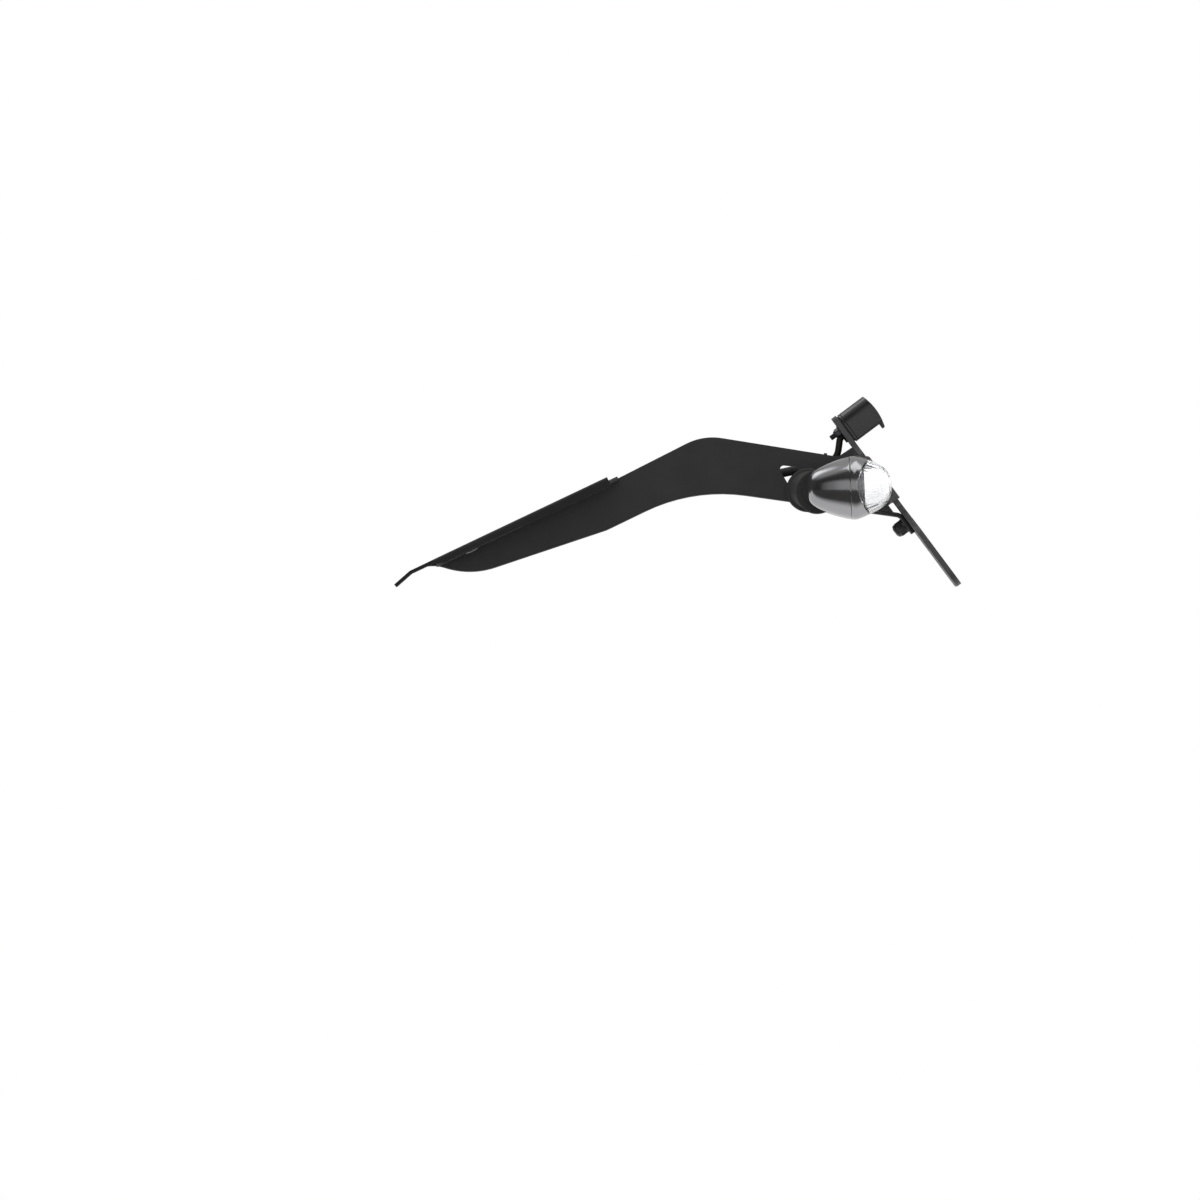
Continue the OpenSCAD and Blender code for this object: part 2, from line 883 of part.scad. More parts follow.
module lamp_grommet() {
  lip = 1;
  color([0.04, 0.04, 0.04])
    on_plate()
      translate([lamp_hole_s, 0, -plate_t])
        difference() {
          union() {
            translate([0, 0, -lip])
              cylinder(h = lip, d = grommet_hole_d + 2.4);
            cylinder(h = plate_t, d = grommet_hole_d - eps);
          }
          translate([0, 0, -lip - 1])
            cylinder(h = plate_t + lip + 2, d = lamp_lead_d + 2 * fit);
        }
}

// Indicator bodies: x runs rearwards, y away from the arm
nose_x = -0.4;
seam_x = nose_x + shell_l;
wide_x = seam_x + 2.5;
tip_x = seam_x + bezel_l + lens_l;
body_rise = 1.4;
stem_disc_t = 3.5;
stem_waist_d = stem_d - 4;
tube_out = 10;
tube_in = 14.5;
collar_d = 15;
collar_t = 1.5;
joint_r = 28.5;

// Outline of the body: 0 is its nose, 1 the bezel seam and 2 the lens tip, radii over the largest
body_profile = [
  [0.000, 0.264], [0.009, 0.322], [0.035, 0.397], [0.078, 0.471], [0.139, 0.540], [0.217, 0.606],
  [0.304, 0.667], [0.417, 0.733], [0.539, 0.796], [0.678, 0.862], [0.835, 0.925], [1.000, 0.980],
  [1.106, 1.000], [1.159, 0.997], [1.252, 0.963], [1.398, 0.888], [1.522, 0.822], [1.637, 0.753],
  [1.748, 0.672], [1.841, 0.575], [1.912, 0.460], [1.956, 0.345], [1.987, 0.207], [2.000, 0.092]
];
body_points = [
  for (p = body_profile)
    [
      p[0] < 1 ? nose_x + p[0] * shell_l : seam_x + (p[0] - 1) * (tip_x - seam_x),
      p[1] * ind_d / 2
    ]
];

function outline_r(x, shrink) = max(0.05, lookup(x, body_points) - shrink);

body_y = stem_l + outline_r(stem_sweep + stem_d / 2, 0) + fit;

module ind_frame(side) {
  to_side(side)
    translate([ind_at[0], arm_w / 2, ind_at[1]])
      children();
}

module body_frame(side) {
  ind_frame(side)
    translate([wide_x, body_y, body_rise])
      rotate([0, -ind_tilt, 0])
        translate([-wide_x, 0, 0])
          children();
}

// Solid of revolution between two stations on the body's axis
module body_solid(x0, x1, shrink) {
  between = [for (p = body_points) if (p[0] > x0 + eps && p[0] < x1 - eps) p[0]];
  rotate([0, 90, 0])
    rotate_extrude($fn = 72)
      polygon(concat(
        [[0, x0]],
        [for (x = concat([x0], between, [x1])) [outline_r(x, shrink), x]],
        [[0, x1]]
      ));
}

module rod(p, q, d) {
  v = q - p;
  translate(p)
    rotate([0, acos(v[2] / norm(v)), atan2(v[1], v[0])])
      cylinder(h = norm(v), d = d);
}

module along_y(x, z, y0, y1, d, d_end = 0) {
  translate([x, y0, z])
    rotate([-90, 0, 0])
      cylinder(h = y1 - y0, d1 = d, d2 = d_end == 0 ? d : d_end);
}

module stem(side) {
  color([0.05, 0.05, 0.052])
    ind_frame(side)
      difference() {
        union() {
          along_y(0, 0, 0, stem_disc_t, stem_d);
          rod([0, stem_disc_t, 0], [stem_sweep, stem_l - stem_disc_t, -stem_drop], stem_waist_d);
          along_y(stem_sweep, -stem_drop, stem_l - stem_disc_t, stem_l, stem_d);
        }
        along_y(0, 0, -1, collar_t, collar_d + eps);
        along_y(0, 0, -1, tube_out, stem_tube_d + eps);
        rod([0, tube_out - 1, 0], [stem_sweep, stem_l - 2, -stem_drop], stem_bore_d + 1);
        along_y(stem_sweep, -stem_drop, stem_l - 4, stem_l + 1, stem_bore_d + 1);
      }
}

module stem_tube(side) {
  color([0.55, 0.55, 0.5])
    ind_frame(side)
      difference() {
        union() {
          along_y(0, 0, -tube_in, tube_out, stem_tube_d - eps);
          along_y(0, 0, 0, collar_t, collar_d - eps);
        }
        along_y(0, 0, -tube_in - 1, tube_out + 1, stem_bore_d);
      }
}

module stem_washer(side) {
  color([0.5, 0.5, 0.5])
    ind_frame(side)
      translate([0, -arm_t, 0])
        rotate([90, 0, 0])
          washer(stem_tube_d, 2 * stem_tube_d, 1.2);
}

module stem_nut(side) {
  color([0.5, 0.5, 0.5])
    ind_frame(side)
      translate([0, -arm_t - 1.2, 0])
        rotate([90, 0, 0])
          difference() {
            intersection() {
              cylinder(h = 0.6 * stem_tube_d, d = 1.6 * stem_tube_d / cos(30), $fn = 6);
              translate([0, 0, -stem_tube_d / 2])
                cylinder(h = 2 * stem_tube_d, d1 = 3 * stem_tube_d, d2 = 1.4 * stem_tube_d);
            }
            translate([0, 0, -1])
              cylinder(h = stem_tube_d, d = stem_tube_d + bore_fit);
          }
}

module shell(side) {
  boss_d = 15;
  color([0.05, 0.05, 0.055])
    difference() {
      union() {
        body_frame(side)
          body_solid(nose_x, seam_x, 0);
        ind_frame(side)
          along_y(stem_sweep, -stem_drop, stem_l, body_y - ind_d / 5, boss_d);
      }
      body_frame(side)
        body_solid(nose_x + ind_wall + 1, seam_x + 1, ind_wall);
      ind_frame(side)
        along_y(stem_sweep, -stem_drop, stem_l - 1, body_y, stem_bore_d + 2);
    }
}

module joint_cutter(grow) {
  translate([seam_x + bezel_l - joint_r, 0, -ind_d])
    cylinder(h = 2 * ind_d, r = joint_r + grow, $fn = 120);
}

module bezel(side) {
  color([0.13, 0.13, 0.135])
    body_frame(side)
      intersection() {
        difference() {
          body_solid(seam_x + fit / 2, tip_x - 3, 0);
          body_solid(seam_x - 1, tip_x - 2, ind_wall);
        }
        joint_cutter(0);
      }
}

module lens(side) {
  color([0.9, 0.92, 0.94])
    body_frame(side)
      difference() {
        body_solid(seam_x + 1, tip_x, 0);
        body_solid(seam_x, tip_x - ind_wall, ind_wall);
        joint_cutter(fit / 2);
      }
}

module reflector(side) {
  wall = 1;
  depth = 7;
  r_in = 5;
  r_out = ind_d / 2 - ind_wall - 3.2;
  start = seam_x + 0.6;
  color([0.8, 0.8, 0.82])
    body_frame(side)
      translate([start, 0, 0])
        rotate([0, 90, 0])
          rotate_extrude($fn = 64)
            polygon(concat(
              [for (k = [0:8]) let (t = k / 8) [r_in + (r_out - r_in) * sqrt(t), depth * t]],
              [for (k = [8:-1:0]) let (t = k / 8) [r_in + wall + (r_out - r_in) * sqrt(t), depth * t]]
            ));
}

module light_board(side) {
  board_r = ind_d / 2 - ind_wall - 1.6;
  emitter_r = ind_d / 14;
  emitter_h = ind_d / 11;
  color([0.2, 0.4, 0.25])
    body_frame(side)
      translate([seam_x - board_t, 0, 0])
        rotate([0, 90, 0])
          rotate_extrude()
            polygon(concat(
              [[0, 0], [board_r, 0], [board_r, board_t], [emitter_r, board_t]],
              [for (k = [0:5]) let (t = 18 * k)
                [emitter_r * cos(t), board_t + emitter_h + emitter_r * sin(t)]]
            ));
}

// Cables: the points of each route are chosen by hand and lie a few diameters apart
lead_gap = 4.2;
loom = [
  [100, 19.2], [88, 17.2], [76, 13.6], [62, 7.4], [48, 0.8], [34, -4.2], [18, -9.6]
];
lamp_route = concat(
  [
    [181.9, 0, 49.3], [177, 0, 45.5], [175.2, 0, 43.4], [174.6, 0, 39.6], [173.8, 0, 35.6],
    [171.4, 0, 32], [166.6, 0, 29.6], [158, 0, 27.6], [149, 0, 25.8], [140, 0, 23.8],
    [131, 0, 21.4], [121, 0, 19.6], [110, 0, 19.4]
  ],
  [for (p = loom) [p[0], 0, p[1]]],
  [[8, 0, -13], [0, 0, -16], [-9.2, 0, -19.2]]
);
side_route = concat(
  [
    [176.4, 70, 16.4], [170, 68.6, 15.8], [165, 64.4, 14.8], [162.8, 58, 14.5],
    [162.8, 51.6, 14.5], [160.4, 44, 15], [157.8, 38, 15.5], [157.8, 28, 15.5],
    [157.8, 20, 15.5], [157.8, 12.8, 15.5], [155.6, 7.6, 15.8], [147, 5.2, 17], [138, 4.4, 18.2],
    [128, 4.2, 19], [118, 4.2, 19.4], [110, 4.2, 19.4]
  ],
  [for (p = loom) [p[0], lead_gap, p[1]]],
  [[8, 7.2, -13], [0, 11.4, -16], [-9.2, 13, -19.2]]
);

function tangent(path, i) =
  unit(path[min(i + 1, len(path) - 1)] - path[max(i - 1, 0)]);
function carried(n, t) = unit(n - (n * t) * t);

module tube(path, d, sides) {
  count = len(path);
  normals = [
    for (i = 0, n = carried([0, 0, 1], tangent(path, 0)); i < count; i = i + 1,
      n = carried(n, tangent(path, min(i, count - 1))))
    n
  ];
  ring_points = [
    for (i = [0:count - 1], k = [0:sides - 1])
      let (
        t = tangent(path, i),
        n = normals[i],
        b = cross(t, n),
        a = 360 * k / sides
      )
      path[i] + d / 2 * (n * cos(a) + b * sin(a))
  ];
  walls = [
    for (i = [0:count - 2], k = [0:sides - 1])
      let (
        a = i * sides + k,
        b = i * sides + (k + 1) % sides
      )
      each [[a, b + sides, b], [a, a + sides, b + sides]]
  ];
  first_cap = [for (k = [0:sides - 1]) k];
  last_cap = [for (k = [sides - 1:-1:0]) (count - 1) * sides + k];
  polyhedron(points = ring_points, faces = concat([first_cap], walls, [last_cap]), convexity = 6);
}

module lamp_lead() {
  color([0.05, 0.05, 0.05])
    tube(lamp_route, lamp_lead_d, 8);
}

module side_lead(side) {
  color([0.06, 0.06, 0.06])
    to_side(side)
      tube(side_route, ind_lead_d, 8);
}

plug_size = [18, 9, 6.4];
plug_at = [-19, -24.2];
plug_tilt = 9.5;
plug_pitch = 13;

module plug(y) {
  color([0.12, 0.12, 0.12])
    translate([plug_at[0], y, plug_at[1]])
      rotate([0, -plug_tilt, 0])
        difference() {
          union() {
            translate([-plug_size[0] / 2, -plug_size[1] / 2, 0])
              cube(plug_size);
            translate([-2, -2, plug_size[2]])
              cube([8, 4, 1.2]);
          }
          for (k = [-1, 1])
            translate([-plug_size[0] / 2 - 1, k * 2 - 0.9, 2.4])
              cube([9, 1.8, 1.8]);
        }
}

// Cable ties: x position, height and slope of the leads where each one sits
tie_places = [
  [112, 19.4, 1],
  [69, 10.5, 25.8],
  [26, -6.9, 18.6]
];
tie_t = 1.2;
tie_w = 3.6;

module cable_ties() {
  bundle_w = 2 * lead_gap + ind_lead_d + fit;
  bundle_h = lamp_lead_d + fit;
  color([0.04, 0.04, 0.04])
    for (p = tie_places)
      translate([p[0], 0, p[1]])
        rotate([0, -p[2], 0]) {
          rotate([90, 0, 90])
            linear_extrude(tie_w, center = true)
              difference() {
                round_rect([bundle_w + 2 * tie_t, bundle_h + 2 * tie_t], 2);
                round_rect([bundle_w, bundle_h], 1);
              }
          translate([-tie_w / 2 - 0.4, -2.4, bundle_h / 2 + tie_t - 0.2])
            cube([tie_w + 0.8, 4.8, 3]);
        }
}

base_plate();
base_rivets();
arm();
plate_bracket();
clamp_channel();
channel_bolts();
channel_washers();
channel_nuts();
tab_screws();
tab_washers();
tab_nuts();
lamp_gasket();
lamp_base();
lamp_hood();
lamp_lens();
lamp_board();
lamp_studs();
lamp_washers();
lamp_nuts();
lamp_grommet();
lamp_lead();
plug(0);  // lamp_plug
stem(-1);  // left_stem
stem_tube(-1);  // left_stem_tube
stem_washer(-1);  // left_stem_washer
stem_nut(-1);  // left_stem_nut
shell(-1);  // left_shell
bezel(-1);  // left_bezel
lens(-1);  // left_lens
reflector(-1);  // left_reflector
light_board(-1);  // left_light_board
side_lead(-1);  // left_lead
plug(-plug_pitch);  // left_plug
stem(1);  // right_stem
stem_tube(1);  // right_stem_tube
stem_washer(1);  // right_stem_washer
stem_nut(1);  // right_stem_nut
shell(1);  // right_shell
bezel(1);  // right_bezel
lens(1);  // right_lens
reflector(1);  // right_reflector
light_board(1);  // right_light_board
side_lead(1);  // right_lead
plug(plug_pitch);  // right_plug
cable_ties();
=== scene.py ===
from math import ceil, cos, pi, radians, sin, sqrt

import bmesh
import bpy
from mathutils import Matrix, Vector
from mathutils.bvhtree import BVHTree


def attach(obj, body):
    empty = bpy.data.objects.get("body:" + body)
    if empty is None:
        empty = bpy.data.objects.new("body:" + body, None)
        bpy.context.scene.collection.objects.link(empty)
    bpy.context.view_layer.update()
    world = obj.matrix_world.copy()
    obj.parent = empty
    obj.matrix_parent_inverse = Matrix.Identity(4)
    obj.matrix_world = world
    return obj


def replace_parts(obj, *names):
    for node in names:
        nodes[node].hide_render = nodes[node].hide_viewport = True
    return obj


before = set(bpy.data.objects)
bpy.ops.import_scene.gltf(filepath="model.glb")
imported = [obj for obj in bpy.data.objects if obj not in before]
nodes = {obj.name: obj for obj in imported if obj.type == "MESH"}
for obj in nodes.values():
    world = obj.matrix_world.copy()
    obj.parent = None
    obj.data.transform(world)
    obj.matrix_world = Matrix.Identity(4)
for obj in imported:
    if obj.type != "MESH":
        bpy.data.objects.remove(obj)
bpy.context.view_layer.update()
MM = 0.001

# Camera

# The middle of the picture and its width, in the part's middle plane
VIEW_X, VIEW_Z = 43.8 * MM, -44.6 * MM
VIEW_WIDTH = 656.9 * MM
CAMERA_AWAY = 25.0
SENSOR = 36.0

camera_data = bpy.data.cameras.new("camera")
camera_data.sensor_width = SENSOR
camera_data.lens = SENSOR * CAMERA_AWAY / VIEW_WIDTH
camera_data.clip_start = 0.05
camera_data.clip_end = 100.0
camera = bpy.data.objects.new("camera", camera_data)
bpy.context.scene.collection.objects.link(camera)
camera.location = (VIEW_X, -CAMERA_AWAY, VIEW_Z)
camera.rotation_euler = (radians(90), 0, 0)
bpy.context.scene.camera = camera
bpy.context.scene.view_settings.view_transform = "Standard"


# Materials

# The part of a noise's range in which most of its values lie
NOISE_SPAN = (0.3, 0.7)


def new_material(name):
    mat = bpy.data.materials.new(name)
    mat.use_nodes = True
    tree = mat.node_tree
    tree.nodes.clear()
    out = tree.nodes.new("ShaderNodeOutputMaterial")
    shader = tree.nodes.new("ShaderNodeBsdfPrincipled")
    tree.links.new(shader.outputs[0], out.inputs[0])
    return mat, tree, shader, out


def put(tree, kind, **values):
    node = tree.nodes.new(kind)
    for key, value in values.items():
        setattr(node, key, value)
    return node


def noise_at(tree, scale, detail=3.0):
    where = put(tree, "ShaderNodeTexCoord")
    field = put(tree, "ShaderNodeTexNoise")
    field.inputs["Scale"].default_value = scale
    field.inputs["Detail"].default_value = detail
    tree.links.new(where.outputs["Object"], field.inputs["Vector"])
    return field.outputs["Fac"]


def ranged(tree, value, low, high, to_low, to_high):
    """The value taken from the range low..high to the range to_low..to_high, held at its ends."""
    node = put(tree, "ShaderNodeMapRange")
    node.inputs["From Min"].default_value = low
    node.inputs["From Max"].default_value = high
    node.inputs["To Min"].default_value = to_low
    node.inputs["To Max"].default_value = to_high
    tree.links.new(value, node.inputs["Value"])
    return node.outputs["Result"]


def tinted(tree, value, dark, light):
    """A colour between dark and light that follows a noise value."""
    ramp = put(tree, "ShaderNodeValToRGB")
    for point, at, colour in zip(ramp.color_ramp.elements, NOISE_SPAN, (dark, light)):
        point.position = at
        point.color = (*colour, 1)
    tree.links.new(value, ramp.inputs[0])
    return ramp.outputs[0]


def surface(name, dark, light, rough, metallic=0.0, patch=60.0, grain=1500.0, bump=0.1,
            bump_mm=0.02, specular=0.5, sheen=0.0):
    """A finish with slow colour patches, a fine grain in its bump and uneven roughness."""
    mat, tree, shader, _ = new_material(name)
    slow = noise_at(tree, patch, 4.0)
    fine = noise_at(tree, grain)
    tree.links.new(tinted(tree, slow, dark, light), shader.inputs["Base Color"])
    tree.links.new(ranged(tree, slow, *NOISE_SPAN, *rough), shader.inputs["Roughness"])
    shader.inputs["Metallic"].default_value = metallic
    shader.inputs["Specular IOR Level"].default_value = specular
    shader.inputs["Sheen Weight"].default_value = sheen
    relief = put(tree, "ShaderNodeBump")
    relief.inputs["Strength"].default_value = bump
    relief.inputs["Distance"].default_value = bump_mm * MM
    tree.links.new(fine, relief.inputs["Height"])
    tree.links.new(relief.outputs[0], shader.inputs["Normal"])
    return mat


POWDER = dict(grain=2200.0, bump=0.5, bump_mm=0.03)
# Name: darkest and lightest colour, roughness from and to, and what differs from the defaults
FINISHES = {
    "powder_coat": (
        (0.025, 0.0245, 0.025), (0.035, 0.034, 0.035), (0.42, 0.5), POWDER | dict(bump=0.55)),
    # A darker, less glossy copy of powder_coat: painted shade on the base plate, standing in for
    # the shade that the bike's tail casts over it
    "powder_coat_painted_shade": (
        (0.016, 0.0157, 0.016), (0.022, 0.0215, 0.022), (0.45, 0.52),
        POWDER | dict(bump=0.55, specular=0.3)),
    # A lighter copy of the powder coat: painted light on the plate bracket, standing in for the
    # light that falls on it from the lit lens nearby
    "powder_coat_painted_light": ((0.07, 0.069, 0.07), (0.09, 0.089, 0.09), (0.4, 0.5), POWDER),
    "powder_coat_grey": ((0.074, 0.074, 0.075), (0.096, 0.096, 0.097), (0.4, 0.48), POWDER),
    "black_fastener": (
        (0.05, 0.05, 0.051), (0.085, 0.085, 0.086), (0.22, 0.34),
        dict(metallic=0.45, patch=300.0, grain=3000.0, bump=0.2)),
    "zinc_fastener": (
        (0.42, 0.43, 0.44), (0.6, 0.6, 0.61), (0.28, 0.42),
        dict(metallic=1.0, patch=400.0, grain=2500.0, bump=0.15)),
    "rubber": (
        (0.028, 0.027, 0.0265), (0.042, 0.041, 0.04), (0.62, 0.78),
        dict(patch=120.0, grain=2600.0, bump=0.4, sheen=0.15)),
    "lamp_plastic": (
        (0.022, 0.021, 0.022), (0.032, 0.03, 0.031), (0.2, 0.28),
        dict(patch=90.0, grain=3200.0, bump=0.15, specular=0.8)),
    "gloss_shell": (
        (0.36, 0.36, 0.37), (0.42, 0.42, 0.43), (0.13, 0.17),
        dict(metallic=0.92, patch=45.0, grain=500.0, bump=0.02)),
    "circuit_board": (
        (0.6, 0.62, 0.58), (0.74, 0.75, 0.72), (0.4, 0.6), dict(patch=300.0, grain=1200.0)),
    "cable_jacket": (
        (0.024, 0.023, 0.02), (0.036, 0.034, 0.03), (0.38, 0.5),
        dict(patch=200.0, grain=1800.0, bump=0.3)),
    "nylon": (
        (0.018, 0.018, 0.018), (0.03, 0.03, 0.03), (0.4, 0.55),
        dict(patch=150.0, grain=2400.0, bump=0.25)),
    "bright_reflector": (
        (0.82, 0.83, 0.85), (0.9, 0.9, 0.92), (0.2, 0.3),
        dict(metallic=0.45, patch=200.0, grain=900.0, bump=0.05)),
}
MAT = {
    name: surface(name, dark, light, rough, **more)
    for name, (dark, light, rough, more) in FINISHES.items()
}


def lens_plastic(name, patch, dark, light, rough, sockets):
    """A plastic of the lenses, with the values of some of its shader's sockets."""
    mat, tree, shader, _ = new_material(name)
    slow = noise_at(tree, patch)
    tree.links.new(tinted(tree, slow, dark, light), shader.inputs["Base Color"])
    tree.links.new(ranged(tree, slow, *NOISE_SPAN, *rough), shader.inputs["Roughness"])
    for socket, value in sockets.items():
        shader.inputs[socket].default_value = value
    return mat


MAT["clear_lens"] = lens_plastic(
    "clear_lens", 120.0, (0.96, 0.97, 0.98), (0.99, 0.99, 1.0), (0.015, 0.05),
    {"Transmission Weight": 1.0, "IOR": 1.46})
# The indicator is off; the optic's emission is a painted glow, standing in for the studio light
# that shines through the lens
MAT["white_optic_painted_glow"] = lens_plastic(
    "white_optic_painted_glow", 200.0, (0.9, 0.9, 0.9), (0.96, 0.96, 0.96), (0.25, 0.35),
    {"Emission Color": (1, 1, 1, 1), "Emission Strength": 0.55})


# Mesh helpers

# A face smaller than this, in square metres, has no say in the normals around it
LEAST_AREA = 1e-11
# Faces that meet at more than this keep their own normals
SHARP_CORNER = radians(50)
# Edges sharper than this are rounded
SHARP_EDGE = radians(28)
# Before that, closer points are merged and flatter joints between faces dissolved
MERGE, FLAT = 0.06 * MM, radians(0.4)
# A point that the rounding throws farther out than this goes back to the CAD surface
STRAY = 0.6 * MM
# Half the arm's width and the outer radius of its folds, in mm
ARM_HALF, FOLD_RADIUS = 28.0, 1.2


def add_object(name, bm, finish):
    """A piece of the visual model, made from bm and with that finish."""
    mesh = bpy.data.meshes.new(name)
    bmesh.ops.recalc_face_normals(bm, faces=bm.faces)
    bm.to_mesh(mesh)
    bm.free()
    obj = bpy.data.objects.new(name, mesh)
    bpy.context.scene.collection.objects.link(obj)
    mesh.materials.append(MAT[finish])
    for face in mesh.polygons:
        face.use_smooth = True
    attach(obj, "root")
    return obj


def sharpened(obj, angle=35):
    """The piece with its edges shown sharp where they turn by more than the angle in degrees."""
    obj.data.set_sharp_from_angle(angle=radians(angle))
    return obj


def level_normals(obj):
    """Custom normals in which the larger faces at a corner count for more."""
    mesh = obj.data
    near = [[] for _ in mesh.vertices]
    for face in mesh.polygons:
        if face.area > LEAST_AREA:
            for v in face.vertices:
                near[v].append((face.normal.copy(), face.area))
    least_cosine = cos(SHARP_CORNER)
    normals = []
    for face in mesh.polygons:
        own = face.normal.copy()
        for v in face.vertices:
            total = Vector()
            for normal, area in near[v]:
                if own.dot(normal) > least_cosine:
                    total += normal * area
            normals.append(total.normalized() if total.length > 0 else own)
    mesh.normals_split_custom_set(normals)
    return obj


def fold_edges(bm):
    """The arm's outer corners, where its web is folded up into the side plates."""
    def width(face):
        across = [v.co.y for v in face.verts]
        return max(across) - min(across)

    found = []
    for edge in bm.edges:
        if len(edge.link_faces) != 2:
            continue
        if any(abs(abs(v.co.y) - ARM_HALF * MM) > 0.01 * MM for v in edge.verts):
            continue
        widths = [width(face) for face in edge.link_faces]
        if max(widths) > 50 * MM and min(widths) < 1 * MM:
            found.append(edge)
    return found


def round_edges(bm, edges, width, segments):
    """The edges rounded over a width in mm."""
    bmesh.ops.bevel(
        bm, geom=edges, offset=width * MM, segments=segments, profile=0.5, affect="EDGES",
        clamp_overlap=False)


def bevelled(node, finish, width):
    """A copy of a CAD node with its edges broken, which stands in for it."""
    bm = bmesh.new()
    bm.from_mesh(nodes[node].data)
    cad_surface = BVHTree.FromBMesh(bm)
    bmesh.ops.remove_doubles(bm, verts=bm.verts, dist=MERGE)
    bmesh.ops.dissolve_limit(bm, angle_limit=FLAT, verts=bm.verts, edges=bm.edges)
    if node == "arm":
        round_edges(bm, fold_edges(bm), FOLD_RADIUS, 4)
    sharp = [e for e in bm.edges if len(e.link_faces) == 2 and e.calc_face_angle(0) > SHARP_EDGE]
    round_edges(bm, sharp, width, 2)
    for v in bm.verts:
        spot, _, _, away = cad_surface.find_nearest(v.co)
        if away > STRAY:
            v.co = spot
    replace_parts(level_normals(add_object(node + "_finish", bm, finish)), node)


# CAD nodes that are kept but for their edges, with their finish and the width of the rounding
BEVELS = {
    "arm": ("powder_coat", 0.22),
    # The base plate gets the copy of the powder coat with painted shade
    "base_plate": ("powder_coat_painted_shade", 0.22),
    # The plate bracket gets the copy of the powder coat with painted light
    "plate_bracket": ("powder_coat_painted_light", 0.22),
    "clamp_channel": ("powder_coat_grey", 0.2),
    "base_rivets": ("black_fastener", 0.1),
    "channel_washers": ("zinc_fastener", 0.12),
    "channel_nuts": ("zinc_fastener", 0.15),
    "tab_washers": ("black_fastener", 0.12),
    "tab_nuts": ("black_fastener", 0.15),
    "lamp_gasket": ("rubber", 0.15),
    "lamp_base": ("lamp_plastic", 0.2),
    "lamp_hood": ("lamp_plastic", 0.4),
    "lamp_washers": ("black_fastener", 0.08),
    "lamp_nuts": ("black_fastener", 0.12),
    "lamp_grommet": ("rubber", 0.2),
    "lamp_plug": ("nylon", 0.3),
    "cable_ties": ("nylon", 0.15),
}
for side in ("left", "right"):
    BEVELS[side + "_stem_washer"] = ("zinc_fastener", 0.15)
    BEVELS[side + "_stem_nut"] = ("zinc_fastener", 0.2)
    BEVELS[side + "_plug"] = ("nylon", 0.3)

for node, (finish, width) in BEVELS.items():
    bevelled(node, finish, width)

# CAD nodes that are kept as they are and only get a finish
for node, finish in (
    ("lamp_lens", "clear_lens"),
    ("lamp_board", "circuit_board"),
    ("left_light_board", "circuit_board"),
    ("right_light_board", "circuit_board"),
):
    materials = nodes[node].data.materials
    materials.clear()
    materials.append(MAT[finish])


# Turned and swept shapes
def place(origin, x_axis, z_axis):
    """A frame in mm: origin, x along x_axis and z along z_axis."""
    z = Vector(z_axis).normalized()
    x = Vector(x_axis)
    x = (x - z * x.dot(z)).normalized()
    y = z.cross(x)
    turn = Matrix((x, y, z)).transposed().to_4x4()
    return Matrix.Scale(MM, 4) @ Matrix.Translation(Vector(origin)) @ turn


def mirrored_place(origin, side):
    """A frame in mm whose y runs away from the arm on that side."""
    flip = Matrix.Diagonal((1, side, 1, 1))
    return Matrix.Scale(MM, 4) @ Matrix.Translation(Vector(origin)) @ flip


def turns(sides):
    """The angles of the corners of a ring."""
    return [2 * pi * k / sides for k in range(sides)]


def join_loops(bm, loops, ring=False):
    """Faces between each loop of vertices and the next, closed in a ring or capped at the ends."""
    sides = len(loops[0])
    pairs = list(zip(loops, loops[1:]))
    if ring:
        pairs.append((loops[-1], loops[0]))
    for a, b in pairs:
        for k in range(sides):
            after = (k + 1) % sides
            bm.faces.new((a[k], a[after], b[after], b[k]))
    if not ring:
        bm.faces.new(loops[0][::-1])
        bm.faces.new(loops[-1])


# Share of the pitch
THREAD_DEPTH = 0.58


def lathe(bm, matrix, rings, sides=48, pitch=1.0, ring=False):
    """A turned shape along z. A ring is (radius, height) and, if it isn't round, "hex" or "cut"."""
    loops = []
    for r, z, *kind in rings:
        loop = []
        for t in turns(sides):
            q = r
            if "hex" in kind:
                q = r / cos((t + pi / 6) % (pi / 3) - pi / 6)
            elif "cut" in kind:
                phase = (z / pitch + t / (2 * pi)) % 1.0
                q = r - THREAD_DEPTH * pitch * (1 - abs(2 * phase - 1))
            loop.append(bm.verts.new(matrix @ Vector((q * cos(t), q * sin(t), z))))
        loops.append(loop)
    join_loops(bm, loops, ring=ring)


def spline(points, steps):
    """A smooth line through the points, with the same number of steps between each pair."""
    run = [Vector(p) for p in points]
    padded = [2 * run[0] - run[1]] + run + [2 * run[-1] - run[-2]]
    line = []
    for i in range(1, len(padded) - 2):
        a, b, c, d = padded[i - 1:i + 3]
        for k in range(steps):
            t = k / steps
            line.append(0.5 * (
                2 * b + (c - a) * t + (2 * a - 5 * b + 4 * c - d) * t * t
                + (3 * b - 3 * c + d - a) * t * t * t))
    line.append(run[-1])
    return line


def sweep(bm, points, radius, sides=14):
    """A rod in mm along the points."""
    loops = []
    normal = Vector((0, 1, 0.02))
    last = len(points) - 1
    for i, p in enumerate(points):
        tangent = (points[min(i + 1, last)] - points[max(i - 1, 0)]).normalized()
        normal = (normal - tangent * normal.dot(tangent)).normalized()
        binormal = tangent.cross(normal)
        loops.append([
            bm.verts.new((p + radius * (cos(t) * normal + sin(t) * binormal)) * MM)
            for t in turns(sides)
        ])
    join_loops(bm, loops)


# Screws with cut threads

